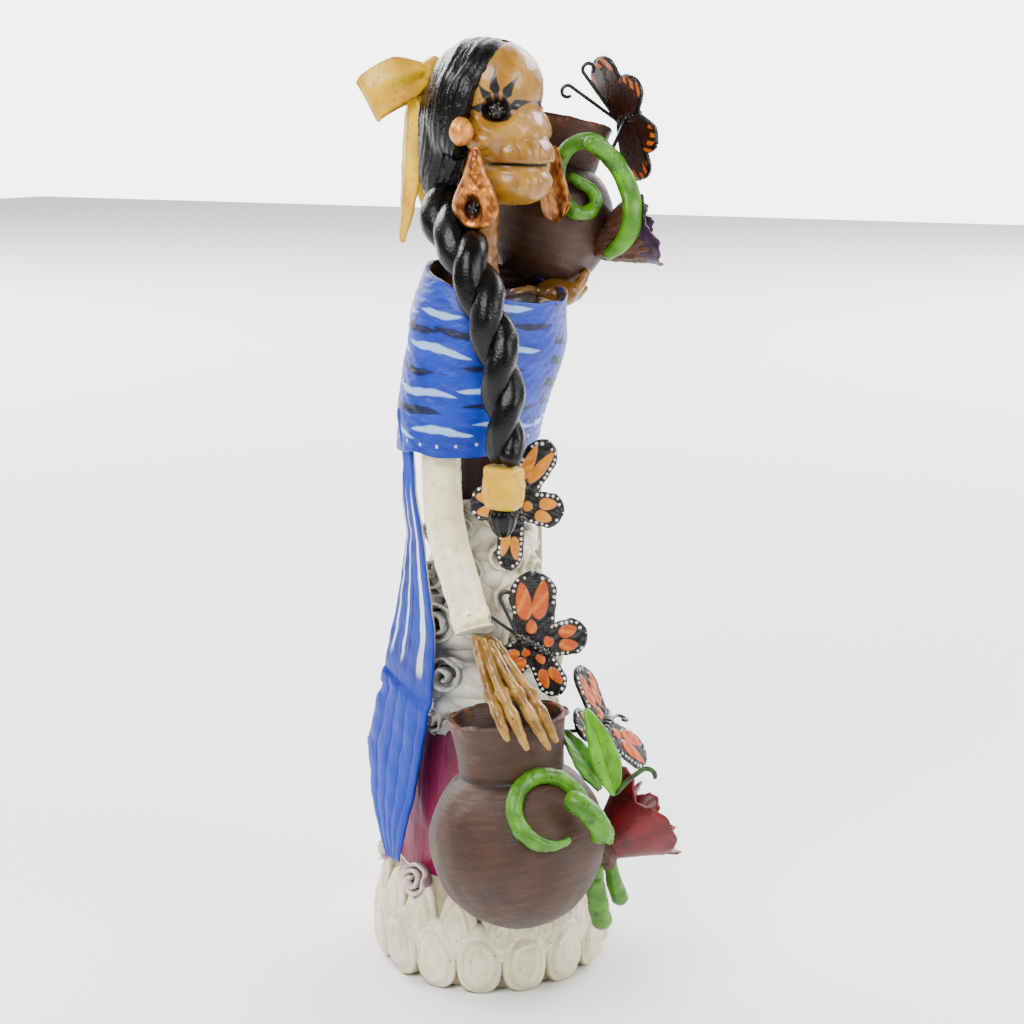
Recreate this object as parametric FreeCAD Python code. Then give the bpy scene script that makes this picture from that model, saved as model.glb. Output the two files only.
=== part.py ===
import FreeCAD, Part
import math
import os

from FreeCAD import Placement, Rotation, Vector

# Catrina figure: a painted clay water carrier, built from hand-formed pieces.
# Frame: millimetres, +Z up, origin at the centre of the foot, the figure faces -Y and its left is +X.

# ---- driving dimensions ----
WALL = 2.5                      # clay slab thickness of skirt, torso and pots
SKIRT_TOP = 158.0               # height of the waist
CHEST_BASE = 178.0              # height where the waistband meets the chest
TORSO_TOP = 222.0               # height of the collar bones
WIRE_R = 0.65                   # butterfly wires and feelers
WIRE_HOLE_R = 1.45              # hole that a wire stands in, with room to flex
WIRE_ROOM_R = 2.4               # clear way for a wire between the roses
GEM_R = 2.1                     # dark bead of an earring
GEM_SEAT_R = 2.7
PEG_R = 4.6                     # neck peg that drops into the torso
SOCKET_R = 4.9
SOCKET_DEPTH = 26.0
SMALLEST_CHIP = 0.04            # a cut-off piece below this share of its solid is dropped

# Directions in the figure's plan: towards the side that the lower pot is on, and along it to the front.
SIDE = Vector(-0.883, -0.469, 0)
ALONG = Vector(0.469, -0.883, 0)
UP = Vector(0, 0, 1)

LOWER_POT = {"centre": Vector(-40.0, -31.0, 60.0), "lean": Vector(0.064, 0.125, 1), "radius": 27.2}
UPPER_POT = {"centre": Vector(43.8, 2.8, 242.0), "lean": Vector(0.20, -0.13, 1), "radius": 23.2}

NODES = {}


# ---- building blocks ----
def direction(along, side, up):
    """A unit vector from shares along the front, towards the pot side, and up."""
    return (ALONG * along + SIDE * side + UP * up).normalize()


def spot(along, side, up):
    """A point given by millimetres along the front, towards the pot side, and up."""
    return ALONG * along + SIDE * side + UP * up


def axes(origin, z_axis, x_hint):
    """A placement whose Z runs along z_axis and whose X is as near x_hint as it can be."""
    z = Vector(z_axis).normalize()
    y = z.cross(x_hint).normalize()
    return Placement(origin, Rotation(y.cross(z), y, z, "ZXY"))


def placed(shape, placement):
    moved = shape.copy()
    moved.Placement = placement.multiply(moved.Placement)
    return moved


def ellipsoid(centre, radii, z_axis=UP, x_hint=Vector(1, 0, 0)):
    stretch = FreeCAD.Matrix()
    stretch.scale(*radii)
    return placed(Part.makeSphere(1).transformGeometry(stretch), axes(centre, z_axis, x_hint))


def ring_wire(centre, normal, radius):
    return Part.Wire(Part.Edge(Part.Circle(centre, normal, radius)))


def oval_wire(x, y, z, a, b):
    """An upright tube's outline at height z: half-widths a along X and b along Y."""
    circle = Part.Wire(Part.Edge(Part.Circle(Vector(0, 0, 0), UP, 1)))
    stretch = FreeCAD.Matrix()
    stretch.scale(a, b, 1)
    wire = circle.transformGeometry(stretch)
    return placed(wire, Placement(Vector(x, y, z), Rotation()))


def oval_solid(stations):
    return Part.makeLoft([oval_wire(*s) for s in stations], True, False)


def limb(stations):
    """A round limb through (point, radius) stations, each cut square to the line of the limb."""
    points = [p for p, _ in stations]
    wires = []
    for i, (point, radius) in enumerate(stations):
        before, after = points[max(i - 1, 0)], points[min(i + 1, len(points) - 1)]
        wires.append(ring_wire(point, (after - before).normalize(), radius))
    return Part.makeLoft(wires, True, False)


def rod(start, end, radius):
    line = end - start
    return Part.makeCylinder(radius, line.Length, start, line)


def turned(profile_edges):
    """A solid turned about Z from a closed outline in the XZ plane."""
    return Part.Face(Part.Wire(profile_edges)).revolve(Vector(0, 0, 0), UP, 360)


def curve_edge(points):
    spline = Part.BSplineCurve()
    spline.interpolate(points)
    return spline.toShape()


def blade(outline, thickness, placement):
    """A flat piece: a smooth closed outline in the local XY plane, thickened both ways."""
    spline = Part.BSplineCurve()
    spline.interpolate([Vector(x, y, -thickness / 2) for x, y in outline], PeriodicFlag=True)
    return placed(Part.Face(Part.Wire(spline.toShape())).extrude(Vector(0, 0, thickness)), placement)


def slab_loft(stations, thickness):
    """A hanging panel: each station gives its near and far edge, and the panel is lofted through them."""
    wires = []
    for near, far in stations:
        across = (far - near).normalize()
        out = across.cross(UP).normalize() * (thickness / 2)
        wires.append(Part.makePolygon([near + out, far + out, far - out, near - out, near + out]))
    return Part.makeLoft(wires, True, True)


def curl(centre, normal, start_dir, radius, tube, sweep, end_ball=True):
    """Part of a ring: it starts at start_dir from the centre and turns by sweep degrees about normal."""
    if sweep < 0:
        normal, sweep = normal * -1, -sweep
    arc = Part.makeTorus(radius, tube, Vector(0, 0, 0), UP, -180, 180, sweep)
    shape = placed(arc, axes(centre, normal, start_dir))
    if end_ball:
        along = Vector(normal).normalize()
        turn = Rotation(along, sweep)
        flat = Vector(start_dir) - along * Vector(start_dir).dot(along)
        tip = centre + turn.multVec(flat.normalize() * radius)
        shape = shape.fuse(Part.makeSphere(tube * 0.98, tip))
    return shape


def solids_of(shape):
    return shape.Solids if shape.Solids else [shape]


def carve(shape, *tools):
    """Cuts tools out of each solid of shape and keeps each solid's main piece."""
    kept = []
    for solid in solids_of(shape):
        whole, left = solid.Volume, solid
        for tool in tools:
            if left.BoundBox.intersect(tool.BoundBox):
                left = left.cut(tool)
        pieces = [s for s in left.Solids if s.Volume > SMALLEST_CHIP * whole]
        if pieces:
            kept.append(max(pieces, key=lambda s: s.Volume))
    return Part.makeCompound(kept)


def keep(name, shape, *tools):
    """Registers a node, cut back from the pieces that it is stuck to."""
    NODES[name] = carve(shape, *tools) if tools else shape
    return NODES[name]


# ---- skirt and hem ----
# (radius, height) of the skirt along its own axis, which leans back a little.
SKIRT = [(32.6, -2), (32.2, 16), (30.4, 38), (26.6, 66), (21.8, 96), (16.8, 126), (14.6, 144),
         (13.4, SKIRT_TOP)]
SKIRT_LEAN = Vector(-2.2, 4.2, 144)


def profile_solid(profile):
    outer = curve_edge([Vector(r, 0, z) for r, z in profile])
    (r0, z0), (r1, z1) = profile[0], profile[-1]
    top = Part.makePolygon([Vector(r1, 0, z1), Vector(0, 0, z1), Vector(0, 0, z0), Vector(r0, 0, z0)])
    return turned([outer] + top.Edges)


def around(angle, radius, z):
    """A point at an angle in degrees from the front (-Y), turning towards the figure's right (-X)."""
    a = math.radians(angle)
    return Vector(-radius * math.sin(a), -radius * math.cos(a), z)


def skirt_axis(z):
    return SKIRT_LEAN * (z / SKIRT_LEAN.z)


def on_skirt(angle, z, out=0.0):
    """A point on the skirt at an angle from the front and a height, raised off the surface by out."""
    for (r0, z0), (r1, z1) in zip(SKIRT, SKIRT[1:]):
        if z0 <= z <= z1:
            radius = r0 + (r1 - r0) * (z - z0) / (z1 - z0)
    return skirt_axis(z) + around(angle, radius + out, 0)


def build_skirt():
    lean = axes(Vector(0, 0, 0), SKIRT_LEAN, Vector(1, 0, 0))
    slice_of_height = Part.makeBox(100, 100, SKIRT_TOP, Vector(-50, -50, 0))
    full = placed(profile_solid(SKIRT + [(SKIRT[-1][0], SKIRT_TOP + 3)]), lean).common(slice_of_height)
    hollow = placed(profile_solid([(r - WALL, z) for r, z in SKIRT + [(SKIRT[-1][0], SKIRT_TOP + 3)]]), lean)
    keep("skirt", full.cut(hollow))
    band = profile_solid([(34.2, 0.4), (36.0, 6), (36.4, 15), (35.2, 25), (33.4, 31), (31.6, 35.5)])
    keep("hem_band", band, full)
    petals, petal_count, petal_r = [], 16, 37.0
    for i in range(petal_count):
        angle = 360 * i / petal_count
        petals.append(ellipsoid(around(angle, petal_r, 12.7), (7.1, 2.7, 12.5), UP, around(angle + 90, 1, 0)))
    keep("hem_petals", Part.makeCompound(petals), band)
    rosettes, rosette_count = [], 8
    for i in range(rosette_count):
        angle = 360 * (i + 0.35) / rosette_count
        rosettes.append(ellipsoid(around(angle, 33.6, 34.5), (6.2, 6.2, 4.2), around(angle, 1, 0), UP))
    keep("hem_rosettes", Part.makeCompound(rosettes), full, band, NODES["hem_petals"])
    return full


# ---- torso, waistband and arms ----
def build_torso():
    waist = [(-1.6, 3.0, SKIRT_TOP, 13.6, 13.6), (-1.0, 2.0, 167, 14.0, 12.8),
             (-0.4, 1.0, CHEST_BASE, 14.8, 12.2)]
    waist_hollow = [(x, y, z, a - WALL, b - WALL) for x, y, z, a, b in waist]
    chest = oval_solid([(-0.4, 1.0, CHEST_BASE, 14.8, 12.2), (0, 0, 196, 17.5, 12.4),
                        (1, -0.5, 210, 21, 12.6), (1.5, -1, 217, 20, 12), (1.5, -1, TORSO_TOP, 11, 8.5)])
    socket = Part.makeCylinder(SOCKET_R, SOCKET_DEPTH, Vector(0, 2, TORSO_TOP - SOCKET_DEPTH))
    keep("waistband", oval_solid(waist).cut(oval_solid(waist_hollow)))
    keep("torso", chest.cut(socket))
    return chest


RIGHT_SHOULDER, RIGHT_WRIST = Vector(-21.5, 2, 203), Vector(-35.6, -11.4, 130)
RIGHT_CUFF_END, LEFT_WRIST = Vector(-37.3, -14.6, 123.5), Vector(22.6, -8.5, 212.5)
LEFT_CUFF_END = Vector(24.0, -9.6, 217.5)


def finger(points, root_r, tip_r):
    step = (root_r - tip_r) / (len(points) - 1)
    return limb([(p, root_r - step * i) for i, p in enumerate(points)])


def build_arms(chest):
    right = [(RIGHT_SHOULDER, 6.2), (Vector(-26.6, 2.4, 178), 6.3), (Vector(-30.0, -0.8, 153), 6.3),
             (RIGHT_WRIST, 5.6)]
    keep("sleeve_right", limb(right), chest, NODES["waistband"])
    keep("cuff_right", limb([(RIGHT_WRIST, 6.1), (RIGHT_CUFF_END, 5.8)]), NODES["sleeve_right"])
    left = [(Vector(19, 2, 205), 5.4), (Vector(19.5, -2, 190), 5.2), (Vector(21.0, -5.5, 198), 4.8),
            (LEFT_WRIST, 4.4)]
    keep("sleeve_left", limb(left[:2]).fuse(Part.makeSphere(5.3, left[1][0])).fuse(limb(left[1:])), chest)
    keep("cuff_left", limb([(LEFT_WRIST, 4.7), (LEFT_CUFF_END, 4.7)]), NODES["sleeve_left"], chest)


def build_right_hand(pot):
    """The right hand comes down over the lower pot's mouth, with its fingers over the near lip."""
    palm = limb([(RIGHT_CUFF_END, 4.2), (spot(-1.2, 44, 118.5), 5.2), (spot(2.2, 49, 113.0), 6.0),
                 (spot(5.0, 53.2, 109.0), 5.0)])
    tips = [spot(6.0, 66.2, 97.6), spot(11.6, 67.6, 95.4), spot(18.4, 64.0, 93.8), spot(20.6, 60.6, 95.0)]
    knuckles = [spot(1.6, 53.8, 110.4), spot(4.4, 54.6, 109.6), spot(7.4, 53.2, 108.6),
                spot(9.6, 50.6, 108.0)]
    hand = palm
    for knuckle, tip in zip(knuckles, tips):
        middle = knuckle + (tip - knuckle) * 0.5 + SIDE * 3.4 + UP * 0.8
        hand = hand.fuse(finger([knuckle, middle, tip], 2.3, 1.0))
    keep("hand_right", hand, pot, NODES["cuff_right"])


def build_left_hand(pot):
    """The left hand cups the upper pot from below and in front."""
    hand = limb([(LEFT_CUFF_END, 3.8), (Vector(27.6, -10.0, 219.6), 4.4), (Vector(33.0, -8.6, 219.8), 5.0),
                 (Vector(37.0, -7.4, 219.4), 4.0)])
    roots = [Vector(35.0, -11.4, 220.0), Vector(37.0, -8.0, 217.8), Vector(37.6, -4.0, 216.6)]
    tips = [Vector(41.0, -14.6, 226.6), Vector(46.4, -11.6, 220.6), Vector(48.4, -5.4, 217.4)]
    for root, tip in zip(roots, tips):
        hand = hand.fuse(finger([root, (root + tip) * 0.5 - UP * 1.2, tip], 2.7, 1.3))
    keep("hand_left", hand, pot, NODES["cuff_left"])


def build_shawl():
    outer = [(-5, 3, 175, 31.5, 21.5), (-3, 2.2, 190, 32.5, 23.0), (0, 1, 206, 32.5, 23.6),
             (1, 0.5, 219, 31, 23.0), (3, -0.5, 236, 26, 18)]
    skin = 1.9
    inner = [(x, y, z, a - skin, b - skin) for x, y, z, a, b in outer]
    tube = oval_solid(outer).cut(oval_solid(inner))
    neckline = axes(Vector(0, 0, 226), Vector(0.03, -0.26, 1), Vector(1, 0, 0))
    above = placed(Part.makeBox(200, 200, 60, Vector(-100, -100, 0)), neckline)
    keep("shawl_wrap", tube.cut(above), NODES["sleeve_right"], NODES["cuff_left"], NODES["sleeve_left"])
    build_panel("right", [(Vector(-30.0, 13.0, 190), Vector(-28.6, 17.5, 190)),
                          (Vector(-33.8, 8.6, 174), Vector(-32.4, 12.9, 174)),
                          (Vector(-34.0, 7.4, 160), Vector(-32.4, 12.9, 160)),
                          (Vector(-33.2, 6.0, 150), Vector(-30.0, 13.5, 150)),
                          (Vector(-32.4, 4.6, 134), Vector(-28.0, 16.8, 134)),
                          (Vector(-31.4, 3.0, 116), Vector(-25.4, 22.6, 116)),
                          (Vector(-31.2, 4.4, 98), Vector(-23.4, 27.6, 98))],
                [(Vector(-33.0, 6.6, 76), Vector(-22.0, 34.6, 76)),
                 (Vector(-35.4, 10.4, 56), Vector(-27.0, 29.6, 56)),
                 (Vector(-37.4, 13.6, 40), Vector(-35.6, 18.4, 40))])
    build_panel("left", [(Vector(30.0, 5.0, 190), Vector(28.6, 9.5, 190)),
                         (Vector(31.6, -0.6, 172), Vector(30.4, 5.0, 172)),
                         (Vector(31.8, -2.2, 158), Vector(30.2, 4.4, 158)),
                         (Vector(31.2, -3.2, 138), Vector(28.2, 11.4, 138)),
                         (Vector(31.0, -3.4, 116), Vector(26.4, 19.6, 116)),
                         (Vector(31.2, -2.0, 98), Vector(25.6, 22.4, 98))],
                [(Vector(33.4, 0.4, 76), Vector(25.8, 29.0, 76)),
                 (Vector(35.8, 3.0, 56), Vector(30.0, 24.0, 56)),
                 (Vector(37.6, 6.4, 40), Vector(36.4, 11.4, 40))])


def build_panel(side, panel, fringe):
    """One hanging end of the shawl: a plain panel down to a seam, and the grooved fringe below it."""
    keep("shawl_panel_" + side, slab_loft(panel, 2.4), NODES["shawl_wrap"], NODES["sleeve_" + side])
    keep("shawl_fringe_" + side, slab_loft(panel[-1:] + fringe, 3.2), NODES["shawl_panel_" + side])


# ---- pots ----
def pot_shell(radius, wall):
    """A round pot with a short flared neck, its belly centred on the origin: the shell and the full form."""
    neck_r, rim_r, rim_h = radius * 0.60, radius * 0.68, radius * 1.44
    neck_z = math.sqrt(radius ** 2 - neck_r ** 2)
    inner = radius - wall
    inner_neck_r = neck_r - wall
    inner_neck_z = math.sqrt(inner ** 2 - inner_neck_r ** 2)
    belly = Part.Arc(Vector(0, 0, -radius), Vector(radius, 0, 0), Vector(neck_r, 0, neck_z)).toShape()
    inner_neck = Vector(inner_neck_r, 0, inner_neck_z)
    hollow = Part.Arc(Vector(0, 0, -inner), Vector(inner, 0, 0), inner_neck).toShape()
    rim = [Vector(neck_r, 0, neck_z), Vector(rim_r, 0, rim_h), Vector(rim_r - wall, 0, rim_h),
           inner_neck]
    bottom = Part.makeLine(Vector(0, 0, -inner), Vector(0, 0, -radius))
    shell = turned([belly] + Part.makePolygon(rim).Edges + [hollow, bottom])
    axis_line = [Vector(rim_r, 0, rim_h), Vector(0, 0, rim_h), Vector(0, 0, -radius)]
    full = turned([belly, Part.makeLine(rim[0], rim[1])] + Part.makePolygon(axis_line).Edges)
    return shell, full


def build_pot(name, pot, *tools):
    shell, full = pot_shell(pot["radius"], WALL)
    seat = axes(pot["centre"], pot["lean"], Vector(1, 0, 0))
    keep(name, placed(shell, seat), *tools)
    return placed(full, seat)


def leaf(root, tip, face, width, thickness=1.8):
    """A pointed leaf from root to tip, its flat side facing face."""
    length = (tip - root).Length
    half = width / 2
    outline = [(0, 0.10 * width), (0.30 * length, half), (0.62 * length, 0.78 * half), (length, 0.3),
               (length, -0.3), (0.62 * length, -0.78 * half), (0.30 * length, -half), (0, -0.10 * width)]
    return blade(outline, thickness, axes(root, face, tip - root))


def bloom(base, axis, rim_r, height):
    """A cup-shaped flower with a bud standing in it, and the short cone that it grows from."""
    cup = [Vector(3.0, 0, 0), Vector(rim_r * 0.62, 0, height * 0.45), Vector(rim_r, 0, height)]
    lip = Vector(rim_r - 1.6, 0, height + 0.4)
    inside = Vector(rim_r * 0.62, 0, height * 0.80)
    bud = [inside, Vector(rim_r * 0.40, 0, height * 1.02), Vector(0, 0, height * 1.10)]
    outline = Part.makePolygon([cup[-1], lip] + bud + [Vector(0, 0, 0), cup[0]])
    flower = turned([curve_edge(cup)] + outline.Edges)
    return placed(flower, axes(base, axis, UP))


def build_lower_flowers(pot, pot_full, skirt):
    body = (pot_full, skirt, NODES["hem_band"], NODES["hem_petals"], NODES["hem_rosettes"])
    ring_at = direction(0.36, 0.69, 0.62)
    curl_r, tube = 11.5, 2.4
    ring_centre = pot["centre"] + ring_at * math.sqrt((pot["radius"] + 1.8) ** 2 - curl_r ** 2)
    tendril = curl(ring_centre, ring_at, direction(0.93, 0.0, 0.36), curl_r, tube, 290)
    keep("pot_lower_tendril", tendril, pot_full)
    base = Vector(-21.6, -49.6, 52.6)
    axis = Vector(0.27, -0.82, 0.50)
    keep("pot_lower_calyx", limb([(base - axis.normalize() * 5, 9.0), (base + axis * 6.0, 7.6)]), pot_full)
    keep("pot_lower_flower", bloom(base + axis * 2.0, axis, 16.5, 19.0), pot_full, NODES["pot_lower_calyx"])
    busy = (NODES["pot_lower_calyx"], NODES["pot_lower_flower"], NODES["pot_lower_tendril"]) + body
    pod = curl(spot(22.6, 66.0, 70.0), direction(-0.35, 0.80, -0.25), direction(0.10, 0.02, 1.0),
               12.0, 3.4, -84)
    outward = direction(0.7, 0.7, 0)
    forms = [pod]
    forms.append(leaf(spot(38.6, 52.0, 75.0), spot(29.6, 46.5, 101.0), direction(0.45, 0.85, 0.1), 7.6, 2.2))
    forms.append(leaf(spot(33.6, 56.0, 78.5), spot(21.4, 44.0, 94.5), direction(0.55, 0.5, 0.6), 7.6, 2.0))
    forms.append(leaf(spot(33.4, 49.0, 50.0), spot(35.6, 46.5, 28.6), outward, 7.0, 4.4))
    forms.append(leaf(spot(38.0, 42.0, 50.0), spot(41.6, 40.0, 33.2), outward, 6.4, 4.0))
    leaves = []
    for form in forms:
        leaves.append(carve(form, *busy, *leaves))
    keep("pot_lower_leaves", Part.makeCompound([s for part in leaves for s in part.Solids]))
    knee, hook_r = spot(46.2, 51.0, 82.6), 2.6
    wire = rod(spot(38.6, 51.6, 75.4), knee, 0.8)
    hook_centre = knee + direction(0.66, 0.0, -0.75) * hook_r
    wire = wire.fuse(curl(hook_centre, SIDE, knee - hook_centre, hook_r, 0.8, -150, False))
    near = [NODES["pot_lower_" + n] for n in ("leaves", "flower", "calyx")]
    keep("pot_lower_wire_tendril", wire, pot_full, *near)


def build_upper_flowers(pot, pot_full):
    ring_at = direction(0.38, 0.78, 0.50)
    curl_r, tube = 8.4, 2.3
    ring_centre = pot["centre"] + ring_at * math.sqrt((pot["radius"] + 1.6) ** 2 - curl_r ** 2)
    tendril = curl(ring_centre, ring_at, direction(0.75, 0.0, 0.65), curl_r, tube, 300)
    keep("pot_upper_tendril", tendril, pot_full)
    base, axis = Vector(42.8, -17.2, 234.5), Vector(0.44, -0.80, 0.33)
    calyx = limb([(base - axis * 3, 7.4), (base + axis * 8.0, 6.4)])
    keep("pot_upper_calyx", calyx, pot_full, NODES["hand_left"])
    flower = bloom(base + axis * 3.0, axis, 13.0, 16.0)
    keep("pot_upper_flower", flower, pot_full, NODES["pot_upper_calyx"], NODES["hand_left"])
    near = [NODES["pot_upper_" + n] for n in ("tendril", "calyx", "flower")]
    busy = (pot_full, NODES["hand_left"], *near)
    knot = Part.makeSphere(3.4, spot(38.4, -20.0, 263.0))
    upper = leaf(spot(38.0, -20.0, 264.0), spot(45.2, -26.0, 240.0), direction(0.35, 0.9, 0.2), 9.6, 2.2)
    lower = leaf(spot(45.0, -25.0, 246.5), spot(36.2, -22.0, 231.5), direction(0.35, 0.9, -0.2), 9.0, 2.2)
    leaves = [carve(knot.fuse(upper), *busy)]
    leaves.append(carve(lower, *busy, leaves[0]))
    keep("pot_upper_leaves", Part.makeCompound([s for part in leaves for s in part.Solids]))


# ---- roses down the front of the skirt ----
def build_roses(skirt, pot_full):
    """(angle from the front, height, radius) of each white rose, from the waist down to the pots."""
    places = [(112, 148, 5.6), (104, 133, 7.2), (96, 118, 7.6), (88, 102, 7.0), (99, 87, 4.6),
              (76, 150, 6.0), (70, 136, 7.0), (62, 120, 7.0), (38, 154, 5.6), (34, 141, 6.4), (28, 127, 6.8),
              (24, 112, 7.4), (2, 147, 5.8), (-4, 134, 6.2), (-6, 119, 7.0), (-8, 103, 7.4), (-42, 140, 5.6),
              (-44, 126, 6.4)]
    roses = []
    for angle, z, radius in places:
        outward = around(angle, 1, 0.12)
        rose = ellipsoid(on_skirt(angle, z, -1.0), (radius, radius, radius * 0.78), outward, UP)
        roses.append(carve(rose, skirt, NODES["waistband"], pot_full, *roses))
    keep("rose_garland", Part.makeCompound([s for rose in roses for s in rose.Solids]))


# ---- head ----
HEAD_TURN = 8.0                 # degrees that the face turns towards the pot side


def in_head(x, y, z):
    """A point in the head's own frame: x to its left, y back, turned with the face."""
    return Rotation(UP, -HEAD_TURN).multVec(Vector(x, y, z))


def build_head():
    side = in_head(1, 0, 0)
    cranium = ellipsoid(in_head(0, 0.5, 280), (16.4, 18.2, 17.6), UP, side)
    muzzle = ellipsoid(in_head(0, -7.0, 262), (12.6, 14.4, 13.4), UP, side)
    neck = limb([(Vector(0, 2, TORSO_TOP), PEG_R), (Vector(0, 2, TORSO_TOP + 5), PEG_R),
                 (Vector(0, 2.4, 234), 4.9), (in_head(0, 3.4, 252), 6.4)])
    sockets = [Part.makeSphere(5.2, in_head(s * 9.6, -16.6, 279)) for s in (-1, 1)]
    beads = [ellipsoid(in_head(s * 8.6, -13.6, 279), (3.4, 3.0, 3.4), UP, side) for s in (-1, 1)]
    keep("eye_beads", Part.makeCompound(beads))
    keep("skull", cranium.fuse(muzzle).fuse(neck), *sockets, *beads)
    keep("neck_peg", Part.makeCylinder(PEG_R, SOCKET_DEPTH, Vector(0, 2, TORSO_TOP - SOCKET_DEPTH)))

    cap = ellipsoid(in_head(0, 1.6, 280.6), (19.0, 19.6, 19.3), UP, side)
    hairline = axes(in_head(0, -4.6, 283), in_head(0, -0.27, 0.96), side)
    face_side = placed(Part.makeBox(100, 100, 100, Vector(-50, -100, -50)), hairline)
    below = Part.makeBox(100, 100, 60, Vector(-50, -50, 212))
    fall = limb([(in_head(-1, 9.6, 284), 11.5), (in_head(-2, 12.0, 268), 9.6), (in_head(-4, 13.0, 252), 7.2)])
    keep("hair", cap.cut(face_side).cut(below).fuse(fall), NODES["skull"])

    strands = [(in_head(-6, 12.6, 251), 7.0), (Vector(-15.6, 6.4, 245), 7.4),
               (Vector(-25.4, -6.4, 235), 7.0), (Vector(-31.4, -17.4, 217), 6.6),
               (Vector(-31.6, -21.6, 198), 6.0), (Vector(-32.2, -22.8, 181), 5.4),
               (Vector(-32.6, -22.6, 174.5), 4.8)]
    keep("braid", limb(strands), NODES["hair"], NODES["skull"], NODES["shawl_wrap"])
    tie_top, tie_end = strands[-1][0], strands[-1][0] + Vector(-0.6, 0.2, -12.6)
    keep("braid_tie", limb([(tie_top, 6.5), (tie_end, 6.3)]), NODES["braid"])
    keep("braid_tassel", limb([(tie_end, 4.6), (tie_end - UP * 9.5, 2.8)]), NODES["braid_tie"])
    build_bow(side)
    build_earrings(side)


def build_bow(side):
    """Two flat loops, two pointed tails and a knot, behind the crown of the head."""
    head = (NODES["hair"], NODES["skull"], NODES["braid"])
    knot_at = in_head(-2, 20.2, 289.5)
    keep("bow_knot", ellipsoid(knot_at, (4.4, 3.8, 4.4), UP, side), *head)
    loops, tails = [], []
    for s in (-1, 1):
        end = knot_at + in_head(s * 17.5, 13.0, 0) - UP * 10.5
        middle = (knot_at + end) * 0.5 + UP * 2.2
        loops.append(limb([(knot_at + (end - knot_at) * 0.06, 3.2), (middle, 7.0), (end, 5.4)]))
        tail_root = knot_at + in_head(s * 4.0, 4.4, 0) - UP * 2.6
        tail_end = in_head(s * 8.5, 27.5, 237.0)
        tails.append(leaf(tail_root, tail_end, in_head(s * 0.95, 0.35, 0), 12.0, 2.2))
    first = carve(loops[0], *head, NODES["bow_knot"])
    keep("bow_loops", first.fuse(carve(loops[1], *head, NODES["bow_knot"], loops[0])))
    keep("bow_tails", Part.makeCompound(tails), *head, NODES["bow_knot"], NODES["bow_loops"])


def build_earrings(side):
    studs, drops, gems = [], [], []
    for s in (-1, 1):
        face = in_head(s * 0.94, -0.34, 0)
        stud_at = in_head(s * 20.4, -5.0, 271.5)
        studs.append(carve(ellipsoid(stud_at, (3.7, 3.7, 4.3), UP, side), NODES["skull"], NODES["hair"]))
        drop_at = in_head(s * 20.6, -10.2, 250.6)
        body = ellipsoid(drop_at, (7.6, 8.4, 2.9), face, UP.cross(face))
        stalk = limb([(drop_at + UP * 4.0, 3.6), (stud_at - UP * 3.6, 1.8)])
        seat = Part.makeSphere(GEM_SEAT_R, drop_at + face * 3.0 - UP)
        gem = Part.makeSphere(GEM_R, drop_at + face * 2.2 - UP)
        busy = [NODES[n] for n in ("skull", "hair", "braid", "pot_upper_tendril")]
        drops.append(carve(body.fuse(stalk), seat, gem, studs[-1], *busy))
        gems.append(gem)
    keep("earring_studs", Part.makeCompound([x for p in studs for x in p.Solids]))
    keep("earring_drops", Part.makeCompound([x for p in drops for x in p.Solids]))
    keep("earring_gems", Part.makeCompound(gems))


# ---- butterflies ----
WING_T = 2.0
# (turn from the head, length, width) of each wing, the right ones first
SPREAD = [(62, 22.0, 13.5), (139, 17.5, 11.5), (-62, 22.0, 13.5), (-139, 17.5, 11.5)]

# centre, way that the painted side faces, way that the head points, where the wire is rooted and the
# node that it is rooted in
BUTTERFLIES = {
    "chest": {"centre": spot(7.6, 27.0, 160.5), "face": direction(0, 1, 0.08),
              "head": direction(-0.515, 0, 0.857), "root": on_skirt(58, 156), "host": "skirt",
              "feelers": (), "reach": 0,
              "wings": [(61, 22.0, 10.5), (133, 15.5, 11.0), (-59, 13.2, 11.0), (-144, 21.0, 8.5)]},
    "hip": {"centre": spot(13.8, 28.6, 115.6), "face": direction(0, 1, 0.1),
            "head": direction(-0.87, 0, 0.5), "root": on_skirt(42, 108), "host": "skirt", "reach": 12.0,
            "feelers": (direction(-0.82, -0.12, 0.56), direction(-0.42, -0.12, 0.90)),
            "wings": [(60, 22.9, 14.5), (138, 17.0, 11.5), (-67, 14.5, 11.0), (-146, 18.0, 9.5)]},
    "skirt": {"centre": spot(36.8, 20.0, 84.0), "face": direction(0.77, 0.35, 0.53),
              "head": direction(0.287, -0.933, 0.2), "root": on_skirt(10, 81), "host": "skirt", "reach": 9.0,
              "feelers": (direction(0.05, -0.99, -0.10), direction(0.30, -0.94, -0.20)), "wings": SPREAD},
    "pot": {"centre": spot(44.6, -35.0, 275.6), "face": direction(0.777, -0.55, 0.30),
            "head": direction(-0.51, -0.83, -0.20), "root": spot(38.6, -20.4, 264.6),
            "host": "pot_upper_leaves", "reach": 16.0,
            "feelers": (direction(-0.84, -0.1, 0.54), direction(-0.487, -0.1, 0.873)),
            "wings": [(75, 21.5, 15.0), (130, 15.0, 12.0), (-75, 21.5, 15.0), (-130, 15.0, 12.0)]},
}


def wing(turn, length, width):
    """One wing in the butterfly's own frame, with +Y to the head and +X to the right of its back."""
    root_x, root_y = 1.2, 1.7
    side_of_lobe = [(0.35 * length, 0.36 * width), (0.70 * length, 0.5 * width),
                    (0.94 * length, 0.32 * width)]
    lobe = [(root_x, -root_y)] + [(x, -y) for x, y in side_of_lobe] + [(length, 0)]
    lobe += side_of_lobe[::-1] + [(root_x, root_y)]
    swing = Rotation(UP, 90 - turn)
    turned_lobe = [swing.multVec(Vector(x, y, 0)) for x, y in lobe]
    return blade([(p.x, p.y) for p in turned_lobe], WING_T, Placement())


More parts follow.
